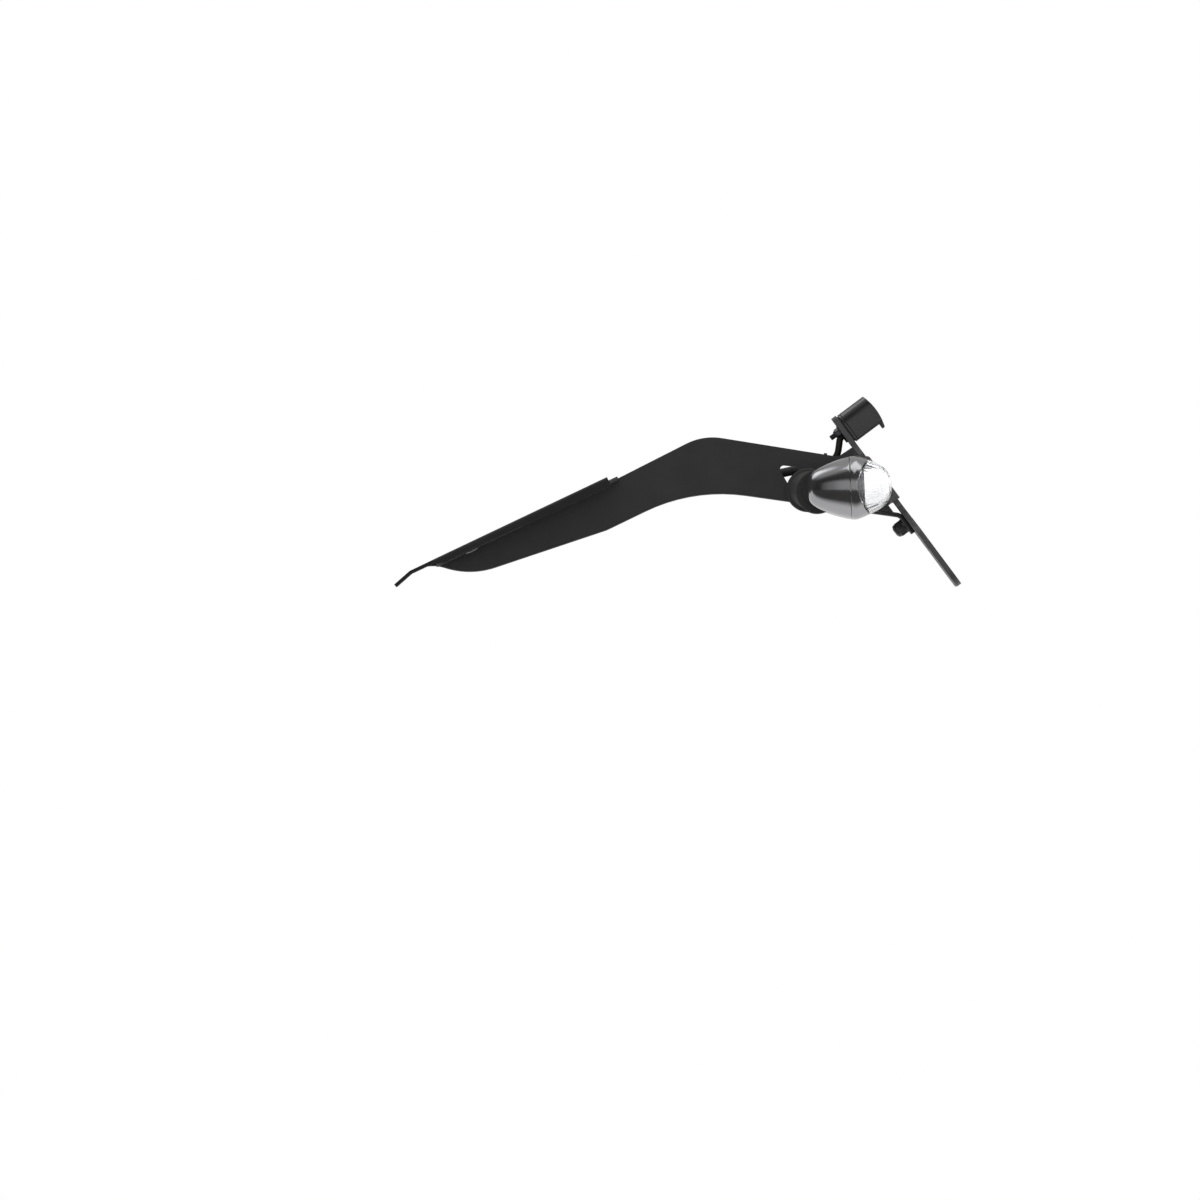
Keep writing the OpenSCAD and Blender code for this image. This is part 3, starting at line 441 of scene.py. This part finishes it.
# The bracket's slope, the place of the tab's screws on its rear face, and its two directions
PLATE_SLOPE = radians(53.3)
PLATE_AT = Vector((215.0, 0, -0.5))
PLATE_DOWN = Vector((cos(PLATE_SLOPE), 0, -sin(PLATE_SLOPE)))
PLATE_OUT = Vector((sin(PLATE_SLOPE), 0, cos(PLATE_SLOPE)))


def on_plate(down, y, out, turned=1):
    """A frame on the bracket: x down its slope, z out of its rear face, or in if turned is -1."""
    origin = PLATE_AT + down * PLATE_DOWN + Vector((0, y, 0)) + out * PLATE_OUT
    return place(origin, PLATE_DOWN, turned * PLATE_OUT)


# How far a thread's crest stays inside its diameter, and how many rings make one turn of it
THREAD_PLAY, RINGS_A_TURN = 0.02, 6
# Half the width across flats of a hex socket, as a share of the screw's diameter
HALF_FLAT = 0.285
# How far a button head's dome comes round
DOME_TURN = radians(62)


def shank_rings(d, length, plain, pitch):
    """A shank of diameter d, cut from its tip to where it is plain."""
    tip, start = (d / 2 - 0.7 * pitch, -length), 0.25 - length
    count = ceil((length - plain) * RINGS_A_TURN / pitch)
    cut = [
        (d / 2 - THREAD_PLAY, start + (-plain - start) * k / count, "cut")
        for k in range(count + 1)
    ]
    return [tip] + cut + [(d / 2 - THREAD_PLAY, 0.1 - plain)]


def button_rings(d):
    """A domed head with a hex socket."""
    head_r, head_h, half_flat = 0.95 * d, 0.55 * d, HALF_FLAT * d
    dome = [
        (head_r * cos(t), head_h * sin(t) / sin(DOME_TURN))
        for t in (DOME_TURN * k / 8 for k in range(9))
    ]
    return [(head_r - 0.25, 0.02)] + dome + [
        (half_flat * 1.22, head_h - 0.02), (half_flat * 1.04, head_h - 0.12, "hex"),
        (half_flat, head_h - 0.25, "hex"), (half_flat, head_h * 0.42, "hex"),
        (0.05, head_h * 0.3),
    ]


def sunk_rings(d, sink_h, sink_r):
    """A countersunk head with a hex socket."""
    half_flat = HALF_FLAT * d
    return [
        (d / 2, -sink_h), (sink_r - 0.15, -0.15), (sink_r - 0.2, -0.03),
        (half_flat * 1.25, -0.03), (half_flat * 1.04, -0.1, "hex"),
        (half_flat, -0.25, "hex"), (half_flat, -sink_h * 0.7, "hex"), (0.05, -sink_h * 0.85),
    ]


# How far down the bracket each pair of screws is, and how far it is either side of the middle
CHANNEL_PAIR, TAB_PAIR, LAMP_PAIR = (-29.5, 17.0), (0.0, 20.0), (-62.4, 12.0)
# Node: its screws' place, how far out of the rear face they sit, their rings, corners and pitch
SCREWS = {
    "channel_bolt": (
        CHANNEL_PAIR, 1.4, shank_rings(5.0, 13.9, 2.0, 0.8) + button_rings(5.0), 48, 0.8),
    "tab_screw": (
        TAB_PAIR, 0.0, shank_rings(5.0, 12.1, 2.6, 0.8) + sunk_rings(5.0, 2.4, 4.75), 48, 0.8),
    "lamp_stud": (
        LAMP_PAIR, 5.7, shank_rings(3.0, 15.2, 6.0, 0.5) + [(1.48, -0.1)], 36, 0.5),
}


def all_screws():
    for node, ((down, aside), out, rings, sides, pitch) in SCREWS.items():
        bm = bmesh.new()
        for y in (-aside, aside):
            lathe(bm, on_plate(down, y, out), rings, sides=sides, pitch=pitch)
        obj = sharpened(add_object(node + "_turned", bm, "black_fastener"))
        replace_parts(obj, node + "s")


def nut_inserts():
    """The nylon rings that stand out of the lock nuts."""
    bm = bmesh.new()
    for (down, aside), out, d in (
            (CHANNEL_PAIR, -6.5, 5.0), (TAB_PAIR, -6.5, 5.0), (LAMP_PAIR, -3.5, 3.0)):
        low, high = d * 0.8, d + 0.14
        for y in (aside, -aside):
            lathe(bm, on_plate(down, y, out, -1), [
                (d / 2 + 0.02, low), (d * 0.62, low), (d * 0.62, high - 0.1),
                (d * 0.6, high), (d / 2 + 0.12, high), (d / 2 + 0.02, high - 0.1),
            ], sides=36, ring=True)
    add_object("lock_nut_inserts", bm, "nylon")


all_screws()
nut_inserts()

# Indicators

# Where the stems' axis crosses the middle plane
IND_AT = Vector((157.8, 0, 15.5))
# Along the body's axis: nose, seam between shell and bezel, widest place, tip of the lens
NOSE_X, SEAM_X, WIDE_X, TIP_X = -0.4, 22.6, 25.1, 45.2
WALL = 1.8
# The joint of bezel and lens lies on an arc about JOINT_X, and each stands back from it
JOINT_X, JOINT_R = 3.9, 28.5
BEZEL_BACK, LENS_BACK = 0.04, 0.06
# The stem runs out from the arm, and its outer end is shifted rearwards and down
STEM_LENGTH, STEM_SWEEP, STEM_DROP = 26.0, 5.0, 1.0
LEAN_START, LEAN_LENGTH = 3.5, 19.0
# The body's widest place lies higher than the stem, and its nose is turned down by the degrees
BODY_RISE, BODY_TILT = 1.4, 2.5
# Radii of the body along its axis
OUTLINE = [
    (-0.4, 4.6), (-0.2, 5.6), (0.4, 6.9), (1.4, 8.2), (2.8, 9.4), (4.6, 10.55), (6.6, 11.6),
    (9.2, 12.75), (12.0, 13.85), (15.2, 15.0), (18.8, 16.1), (22.6, 17.05), (25.0, 17.4),
    (26.2, 17.35), (28.3, 16.75), (31.6, 15.45), (34.4, 14.3), (37.0, 13.1), (39.5, 11.7),
    (41.6, 10.0), (43.2, 8.0), (44.2, 6.0), (44.9, 3.6), (45.2, 1.6),
]


def outline_r(x, shrink=0.0):
    """The radius at x, on a smooth line through the points of OUTLINE."""
    x = min(max(x, OUTLINE[0][0]), OUTLINE[-1][0])
    i = 0
    while i < len(OUTLINE) - 2 and OUTLINE[i + 1][0] < x:
        i += 1
    (x0, r0), (x1, r1) = OUTLINE[i], OUTLINE[i + 1]
    slope = (r1 - r0) / (x1 - x0)

    def tangent(j):
        if j <= 0 or j >= len(OUTLINE) - 1:
            return slope
        (xa, ra), (xb, rb), (xc, rc) = OUTLINE[j - 1:j + 2]
        before, after = (rb - ra) / (xb - xa), (rc - rb) / (xc - xb)
        return (before * (xc - xb) + after * (xb - xa)) / (xc - xa)
    t = (x - x0) / (x1 - x0)
    step = x1 - x0
    value = ((2 * t ** 3 - 3 * t * t + 1) * r0 + (t ** 3 - 2 * t * t + t) * step * tangent(i)
             + (3 * t * t - 2 * t ** 3) * r1 + (t ** 3 - t * t) * step * tangent(i + 1))
    return max(0.03, value - shrink)


BODY_Y = STEM_LENGTH + outline_r(STEM_SWEEP + 12.0) + 0.26


def body_place(side):
    """The body's own frame: x along its axis, y away from the arm, nose tilted down."""
    at = (IND_AT.x + WIDE_X, side * (ARM_HALF + BODY_Y), IND_AT.z + BODY_RISE)
    tilt = Matrix.Rotation(radians(-BODY_TILT), 4, "Y")
    return mirrored_place(at, side) @ tilt @ Matrix.Translation(Vector((-WIDE_X, 0, 0)))


def across_place(origin, side):
    """A frame in mm whose z runs away from the arm on that side."""
    return mirrored_place(origin, side) @ Matrix.Rotation(radians(-90), 4, "X")


def joint_x(t):
    """Where the bezel meets the lens at turn t about the body's axis."""
    x = 30.0
    for _ in range(14):
        y = outline_r(x) * sin(t)
        x = JOINT_X + sqrt(JOINT_R * JOINT_R - y * y)
    return x


def body_loops(bm, matrix, stations, sides=120):
    """Rings about the body's axis. A station is a function of the turn that gives (x, radius)."""
    loops = []
    for station in stations:
        loop = []
        for t in turns(sides):
            x, r = station(t)
            loop.append(bm.verts.new(matrix @ Vector((x, r * sin(t), r * cos(t)))))
        loops.append(loop)
    return loops


def fixed(x, r):
    """A round station."""
    return lambda t: (x, r)


def shell_body(name, side):
    """The hollow shell in front of the seam."""
    nose_end, seam_r = NOSE_X + 0.04, outline_r(SEAM_X)
    stations = [fixed(NOSE_X, r) for r in (0.05, 2.5, 4.2)] + [fixed(nose_end, 4.75)]
    for k in range(1, 45):
        x = nose_end + (SEAM_X - 0.35 - nose_end) * (k / 44) ** 1.8
        stations.append(fixed(x, outline_r(x)))
    stations += [
        fixed(SEAM_X - 0.12, seam_r - 0.05), fixed(SEAM_X - 0.02, seam_r - 0.25),
        fixed(SEAM_X - 0.02, seam_r - WALL),
    ]
    stations += [fixed(SEAM_X - deep, outline_r(SEAM_X - deep) - WALL) for deep in (4, 10, 16)]
    stations += [fixed(3.0, outline_r(3.0) - WALL - 0.5), fixed(3.0, 0.05)]
    bm = bmesh.new()
    join_loops(bm, body_loops(bm, body_place(side), stations))
    obj = sharpened(add_object(name, bm, "gloss_shell"), 40)
    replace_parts(obj, name.replace("_body", "_shell"))


def shell_boss(name, side):
    """The stem's rubber foot under the shell, which the CAD counts to the shell."""
    at = (IND_AT.x + STEM_SWEEP, side * (ARM_HALF + STEM_LENGTH), IND_AT.z - STEM_DROP)
    bm = bmesh.new()
    lathe(bm, across_place(at, side), [
        (3.3, 0), (7.2, 0), (7.5, 0.3), (7.5, 1.2), (7.5, 4.2), (7.5, 8.0), (3.3, 8.0),
    ], sides=64, ring=True)
    sharpened(add_object(name, bm, "rubber"), 40)


def bezel_ring(name, side):
    """The bright ring between shell and lens."""
    first = SEAM_X + 0.15

    def at(f, inset=0.0):
        """A station at fraction f of the way from the seam to the joint."""
        def station(t):
            x = first + (joint_x(t) - BEZEL_BACK - first) * f
            return x, outline_r(x) - inset
        return station
    stations = [at(0.0, WALL), at(0.0, 0.22), at(0.012, 0.05)]
    stations += [at(0.03 + 0.95 * k / 12) for k in range(13)]
    stations += [at(0.995, 0.03), at(1.0, 0.12), at(1.0, WALL), at(0.5, WALL)]
    bm = bmesh.new()
    join_loops(bm, body_loops(bm, body_place(side), stations), ring=True)
    obj = sharpened(add_object(name, bm, "gloss_shell"), 40)
    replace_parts(obj, name.replace("_ring", ""))


def clear_cap(name, side):
    """The clear lens, fluted on its inside."""
    flutes, depth = 28, 0.16

    def at(f, wall, inset=0.0):
        """A station at fraction f of the way from the joint to the tip, that deep in the wall."""
        def station(t):
            start = joint_x(t) + LENS_BACK
            x = start + (TIP_X - wall - 0.002 - start) * sin(pi / 2 * f)
            # The flutes run out towards the tip
            flute = depth * (0.5 + 0.5 * cos(flutes * t)) * min(1.0, 4 * (1 - f)) if wall else 0.0
            return x, max(0.03, outline_r(x, wall) - inset - flute)
        return station
    outside = [at(0.0, 0.0, 0.1)] + [at(k / 26, 0.0) for k in range(27)]
    inside = [at(k / 20, WALL) for k in range(21)]
    bm = bmesh.new()
    outer = body_loops(bm, body_place(side), outside, 168)
    inner = body_loops(bm, body_place(side), inside, 168)
    join_loops(bm, inner[::-1] + outer)
    obj = sharpened(add_object(name, bm, "clear_lens"), 50)
    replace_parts(obj, name.replace("_cap", "_lens"))


def light_optic(name, side):
    """The ribbed white optic behind the clear lens."""
    ribs, depth = 36, 0.022
    line = [
        (26.6, 8.6), (26.9, 9.0), (30.5, 9.0), (33.0, 9.0), (35.5, 9.0), (37.5, 8.8), (39.3, 8.2),
        (40.8, 7.2), (42.0, 5.7), (42.8, 3.8), (43.2, 1.8), (43.25, 0.04),
    ]

    def ribbed(x, r):
        return lambda t: (x, r * (1 - depth * (0.5 + 0.5 * cos(ribs * t))))
    back = [fixed(30.0, 0.04), fixed(30.0, 4.0), fixed(26.6, 4.0)]
    stations = back + [ribbed(x, r) for x, r in line]
    bm = bmesh.new()
    join_loops(bm, body_loops(bm, body_place(side), stations, 216))
    # Its finish carries the painted glow of light shining through the lens
    sharpened(add_object(name, bm, "white_optic_painted_glow"), 40)


def reflector_bowl(name, side):
    """The faceted bowl around the light board."""
    first, length, thick = SEAM_X + 0.6, 7.0, 0.95
    facets, rise = 16, 0.018

    def at(f, wall):
        def station(t):
            facet = 1.0 if wall else 1 + rise * abs(cos(facets / 2 * t)) * f
            return first + length * f, (5.0 + 7.4 * sqrt(f)) * facet + wall
        return station
    stations = [at(k / 10, 0.0) for k in range(11)] + [at(k / 10, thick) for k in range(10, -1, -1)]
    bm = bmesh.new()
    join_loops(bm, body_loops(bm, body_place(side), stations, 96), ring=True)
    obj = sharpened(add_object(name, bm, "bright_reflector"), 30)
    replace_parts(obj, name.replace("_bowl", ""))


def rubber_stem(name, side):
    """The flexible stem: two discs joined by a ribbed waist that leans rearwards."""
    outline = [
        (0.0, 10.4), (0.0, 11.2), (0.15, 11.7), (0.6, 12.0), (2.7, 12.0), (3.2, 11.8), (3.5, 11.3),
        (3.6, 10.3), (4.2, 10.0), (6.0, 9.9), (6.5, 9.5), (7.2, 9.5), (7.7, 9.9), (9.9, 9.9),
        (10.4, 9.5), (11.1, 9.5), (11.6, 9.9), (14.4, 9.9), (14.9, 9.5), (15.6, 9.5), (16.1, 9.9),
        (18.3, 9.9), (18.8, 9.5), (19.5, 9.5), (20.0, 9.9), (21.8, 10.0), (22.4, 10.3),
        (22.5, 11.3), (22.8, 11.8), (23.3, 12.0), (25.4, 12.0), (25.85, 11.7), (26.0, 11.2),
        (26.0, 10.4),
    ]
    bore = [(26.0, 3.4), (24.0, 3.0), (4.0, 4.1)]
    base = mirrored_place((IND_AT.x, side * ARM_HALF, IND_AT.z), side)
    bm = bmesh.new()
    loops = []
    for y, r in [(0.0, 4.2)] + outline + bore:
        lean = min(1.0, max(0.0, (y - LEAN_START) / LEAN_LENGTH))
        x, z = STEM_SWEEP * lean, -STEM_DROP * lean
        loops.append([
            bm.verts.new(base @ Vector((x + r * cos(t), y, z + r * sin(t)))) for t in turns(72)
        ])
    join_loops(bm, loops, ring=True)
    obj = sharpened(add_object(name, bm, "rubber"), 40)
    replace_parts(obj, name.replace("_ribbed", ""))


def threaded_tube(name, side):
    """The tube that holds the stem, with its collar against the arm."""
    count = 14 * RINGS_A_TURN
    thread = [(3.98, -14.3 + 11.8 * k / count, "cut") for k in range(count + 1)]
    rings = [(3.4, -14.5)] + thread + [
        (3.95, -2.4), (3.95, 0), (7.4, 0), (7.4, 1.45), (3.9, 1.45), (3.9, 10), (2.2, 10),
        (2.2, -14.5),
    ]
    bm = bmesh.new()
    lathe(bm, across_place((IND_AT.x, side * ARM_HALF, IND_AT.z), side), rings, ring=True)
    obj = sharpened(add_object(name, bm, "zinc_fastener"))
    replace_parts(obj, name.replace("_cut", ""))


for side_name, side in (("left", -1), ("right", 1)):
    shell_body(side_name + "_body", side)
    shell_boss(side_name + "_body_boss", side)
    bezel_ring(side_name + "_bezel_ring", side)
    clear_cap(side_name + "_cap", side)
    reflector_bowl(side_name + "_reflector_bowl", side)
    light_optic(side_name + "_light_optic", side)
    rubber_stem(side_name + "_stem_ribbed", side)
    threaded_tube(side_name + "_stem_tube_cut", side)

# Leads

PLUG_TILT = radians(9.5)
# The way that all three leads go side by side, and how far each is from the next
LOOM = [(100, 19.2), (88, 17.2), (76, 13.6), (62, 7.4), (48, 0.8), (34, -4.2), (18, -9.6)]
LEAD_GAP = 4.2
LAMP_ROUTE = [
    (181.9, 0, 49.3), (177, 0, 45.5), (175.2, 0, 43.4), (174.6, 0, 39.6), (173.8, 0, 35.6),
    (171.4, 0, 32), (166.6, 0, 29.6), (158, 0, 27.6), (149, 0, 25.8), (140, 0, 23.8),
    (131, 0, 21.4), (121, 0, 19.6), (110, 0, 19.4),
] + [(x, 0, z) for x, z in LOOM] + [(8, 0, -13), (0, 0, -16), (-9.2, 0, -19.2)]
SIDE_ROUTE = [
    (176.4, 70, 16.4), (170, 68.6, 15.8), (165, 64.4, 14.8), (162.8, 58, 14.5),
    (162.8, 51.6, 14.5), (160.4, 44, 15), (157.8, 38, 15.5), (157.8, 28, 15.5),
    (157.8, 20, 15.5), (157.8, 12.8, 15.5), (155.6, 7.6, 15.8), (147, 5.2, 17), (138, 4.4, 18.2),
    (128, 4.2, 19), (118, 4.2, 19.4), (110, 4.2, 19.4),
] + [(x, LEAD_GAP, z) for x, z in LOOM] + [(8, 7.2, -13), (0, 11.4, -16), (-9.2, 13, -19.2)]


def lead(node, points, d):
    """The jacket of a lead of diameter d."""
    bm = bmesh.new()
    sweep(bm, spline(points, 5), d / 2 - 0.02)
    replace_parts(add_object(node + "_jacket", bm, "cable_jacket"), node)


def lead_sleeve():
    """The heat-shrunk sleeve around the lamp's lead behind the side windows."""
    bm = bmesh.new()
    line = [(x, 0, z + 0.3) for x, _, z in LAMP_ROUTE if 130 < x < 168]
    sweep(bm, spline(line, 6), 2.5, sides=20)
    add_object("lead_sleeve", bm, "rubber")


def sleeve_tie():
    """The tie at the sleeve's rear end, with its head and a cut tail that shows over the arm."""
    bm = bmesh.new()
    lathe(bm, place((165.6, 0, 29.7), (0, 1, 0), (0.97, 0, 0.24)), [
        (2.4, 0), (3.3, 0), (3.45, 0.3), (3.45, 2.2), (3.3, 2.5), (2.4, 2.5),
    ], sides=40, ring=True)
    for low, high, along, across in ((32.6, 34.6, 4.2, 4.4), (34.4, 35.8, 1.8, 2.4)):
        middle = Matrix.Translation((167.2, 0, (low + high) / 2))
        size = Matrix.Diagonal((along, across, high - low, 1))
        made = bmesh.ops.create_cube(bm, size=1.0, matrix=Matrix.Scale(MM, 4) @ middle @ size)
        edges = {e for v in made["verts"] for e in v.link_edges}
        bmesh.ops.bevel(
            bm, geom=list(edges), offset=0.3 * MM, segments=2, profile=0.5, affect="EDGES")
    sharpened(add_object("sleeve_tie", bm, "nylon"), 40)


def plug_seals():
    """Ribbed rubber seals where the leads enter their plugs."""
    along = Vector((cos(PLUG_TILT), 0, sin(PLUG_TILT)))
    up = Vector((-sin(PLUG_TILT), 0, cos(PLUG_TILT)))
    bm = bmesh.new()
    for y, r in ((-13.0, 2.5), (0.0, 2.7), (13.0, 2.5)):
        start = Vector((-19, y, -24.2)) + 8.6 * along + 3.2 * up
        lathe(bm, place(start, (0, 1, 0), along), [
            (r - 0.4, 0), (r, 0.3), (r, 0.6), (r - 0.35, 0.8), (r, 1.0), (r, 1.3),
            (r - 0.35, 1.5), (r - 0.1, 1.7), (r - 0.5, 2.0),
        ], sides=28)
    add_object("plug_seals", bm, "rubber")


lead_sleeve()
sleeve_tie()
lead("lamp_lead", LAMP_ROUTE, 3.8)
lead("left_lead", [(x, -y, z) for x, y, z in SIDE_ROUTE], 3.4)
lead("right_lead", SIDE_ROUTE, 3.4)
plug_seals()

# Stage and light
FLOOR_Z = -0.34
WHITE = (1, 1, 1, 1)


def folded(tree, operation, values):
    """All the values in one, by a sum, a product or the like."""
    result = values[0]
    for value in values[1:]:
        step = put(tree, "ShaderNodeMath", operation=operation)
        tree.links.new(result, step.inputs[0])
        tree.links.new(value, step.inputs[1])
        result = step.outputs[0]
    return result


def any_of(tree, *flags):
    """1 where one of the light path's flags holds."""
    path = put(tree, "ShaderNodeLightPath")
    return folded(tree, "MAXIMUM", [path.outputs[flag] for flag in flags])


def mixed(tree, choice, at_0, at_1):
    """The first shader where choice is 0 and the second where it is 1."""
    node = put(tree, "ShaderNodeMixShader")
    for socket, value in zip(node.inputs, (choice, at_0, at_1)):
        tree.links.new(value, socket)
    return node.outputs[0]


def axes_of(tree, output):
    """The three numbers of one output of the texture coordinates."""
    where = put(tree, "ShaderNodeTexCoord")
    parts = put(tree, "ShaderNodeSeparateXYZ")
    tree.links.new(where.outputs[output], parts.inputs[0])
    return [parts.outputs[axis] for axis in "XYZ"]


def floor_material():
    """A pale floor that looks white to the camera."""
    mat, tree, shader, out = new_material("floor_white")
    tree.nodes.remove(shader)
    matt = put(tree, "ShaderNodeBsdfDiffuse")
    matt.inputs["Color"].default_value = (0.42, 0.42, 0.42, 1)
    glow = put(tree, "ShaderNodeEmission")
    glow.inputs["Color"].default_value = WHITE
    seen = any_of(tree, "Is Camera Ray", "Is Transmission Ray")
    tree.links.new(ranged(tree, seen, 0.0, 1.0, 0.05, 0.84), glow.inputs["Strength"])
    both = put(tree, "ShaderNodeAddShader")
    tree.links.new(matt.outputs[0], both.inputs[0])
    tree.links.new(glow.outputs[0], both.inputs[1])
    # In reflections the floor is dark in front of the part
    sheen = put(tree, "ShaderNodeEmission")
    _, y, _ = axes_of(tree, "Object")
    tree.links.new(ranged(tree, y, -0.30, -0.12, 0.04, 0.9), sheen.inputs["Strength"])
    top = mixed(tree, any_of(tree, "Is Glossy Ray"), both.outputs[0], sheen.outputs[0])
    # The underside lets the view through, so that the part can be looked at from below
    faces = put(tree, "ShaderNodeNewGeometry")
    gone = put(tree, "ShaderNodeBsdfTransparent")
    either = mixed(tree, faces.outputs["Backfacing"], top, gone.outputs[0])
    tree.links.new(either, out.inputs[0])
    return mat


def floor_plane():
    bm = bmesh.new()
    bmesh.ops.create_grid(bm, x_segments=1, y_segments=1, size=2.2)
    mesh = bpy.data.meshes.new("floor")
    bm.to_mesh(mesh)
    bm.free()
    obj = bpy.data.objects.new("floor", mesh)
    bpy.context.scene.collection.objects.link(obj)
    obj.location = (0.05, 0.0, FLOOR_Z)
    mesh.materials.append(floor_material())


def ramp_stops(ramp, stops):
    """The colour ramp's stops, each a place and a grey level, in order."""
    points = ramp.color_ramp.elements
    for at, _ in stops[2:]:
        points.new(at)
    for point, (at, level) in zip(points, stops):
        point.position = at
        point.color = (level, level, level, 1)


def world_light():
    """White to the camera, an even grey to matt surfaces, and a dark front for gloss."""
    world = bpy.data.worlds.new("studio")
    bpy.context.scene.world = world
    world.use_nodes = True
    tree = world.node_tree
    tree.nodes.clear()
    out = put(tree, "ShaderNodeOutputWorld")
    even, studio, white = (put(tree, "ShaderNodeBackground") for _ in range(3))
    even.inputs["Color"].default_value = WHITE
    even.inputs["Strength"].default_value = 0.5
    white.inputs["Color"].default_value = WHITE
    x, y, z = axes_of(tree, "Generated")

    def product(*steps):
        """The product of the steps, each a value and the range that it is taken from and to."""
        return folded(tree, "MULTIPLY", [ranged(tree, *step) for step in steps])
    front = put(tree, "ShaderNodeValToRGB")
    tree.links.new(ranged(tree, y, 1.0, -1.0, 0.0, 1.0), front.inputs[0])
    ramp_stops(front, [(0.0, 1.0), (0.58, 0.92), (0.70, 0.05), (1.0, 0.04)])
    # The gloss is darker where it looks forward along the bike
    forward = product(
        (x, -0.2, -0.5, 0.0, 1.0), (z, -0.5, -0.2, 0.0, 1.0), (z, 0.75, 0.55, 0.0, 1.0))
    around = folded(tree, "MULTIPLY", [
        front.outputs[0], product((z, -0.2, 0.4, 0.88, 0.62), (forward, 0.0, 1.0, 1.0, 0.06))])
    # One soft panel beside the camera
    beside = product(
        (x, -0.8, -0.56, 0.0, 1.0), (x, 0.12, 0.5, 1.0, 1.5), (z, -0.62, -0.46, 0.0, 1.0),
        (z, 0.52, 0.36, 0.0, 1.0), (y, -0.5, -0.65, 0.0, 0.6))
    # A small one high up in front, which the lamp's hood shows along its top
    high = product((x, -0.4, -0.5, 0.0, 1.0), (z, 0.5, 0.64, 0.0, 1.0), (y, 0.05, 0.3, 0.0, 2.0))
    tree.links.new(folded(tree, "ADD", [around, beside, high]), studio.inputs["Strength"])
    unseen = mixed(tree, any_of(tree, "Is Glossy Ray"), even.outputs[0], studio.outputs[0])
    seen = any_of(tree, "Is Camera Ray", "Is Transmission Ray")
    tree.links.new(mixed(tree, seen, unseen, white.outputs[0]), out.inputs[0])


def area_light(name, at, size, watts, glossy=True):
    """A soft light that faces the part. Where glossy is False, no gloss shows it."""
    data = bpy.data.lights.new(name, "AREA")
    data.shape = "RECTANGLE"
    data.size, data.size_y = size
    data.energy = watts
    obj = bpy.data.objects.new(name, data)
    bpy.context.scene.collection.objects.link(obj)
    obj.location = at
    aim = Vector((0.08, 0, 0))
    obj.rotation_euler = (aim - Vector(at)).to_track_quat("-Z", "Y").to_euler()
    obj.visible_glossy = glossy


floor_plane()
world_light()
area_light("front_fill", (0.1, -3.4, -0.4), (2.4, 1.6), 34, glossy=False)
area_light("top", (0.3, -0.3, 1.9), (1.8, 1.4), 9)
area_light("back", (0.8, 1.6, 0.7), (1.0, 1.0), 6, glossy=False)
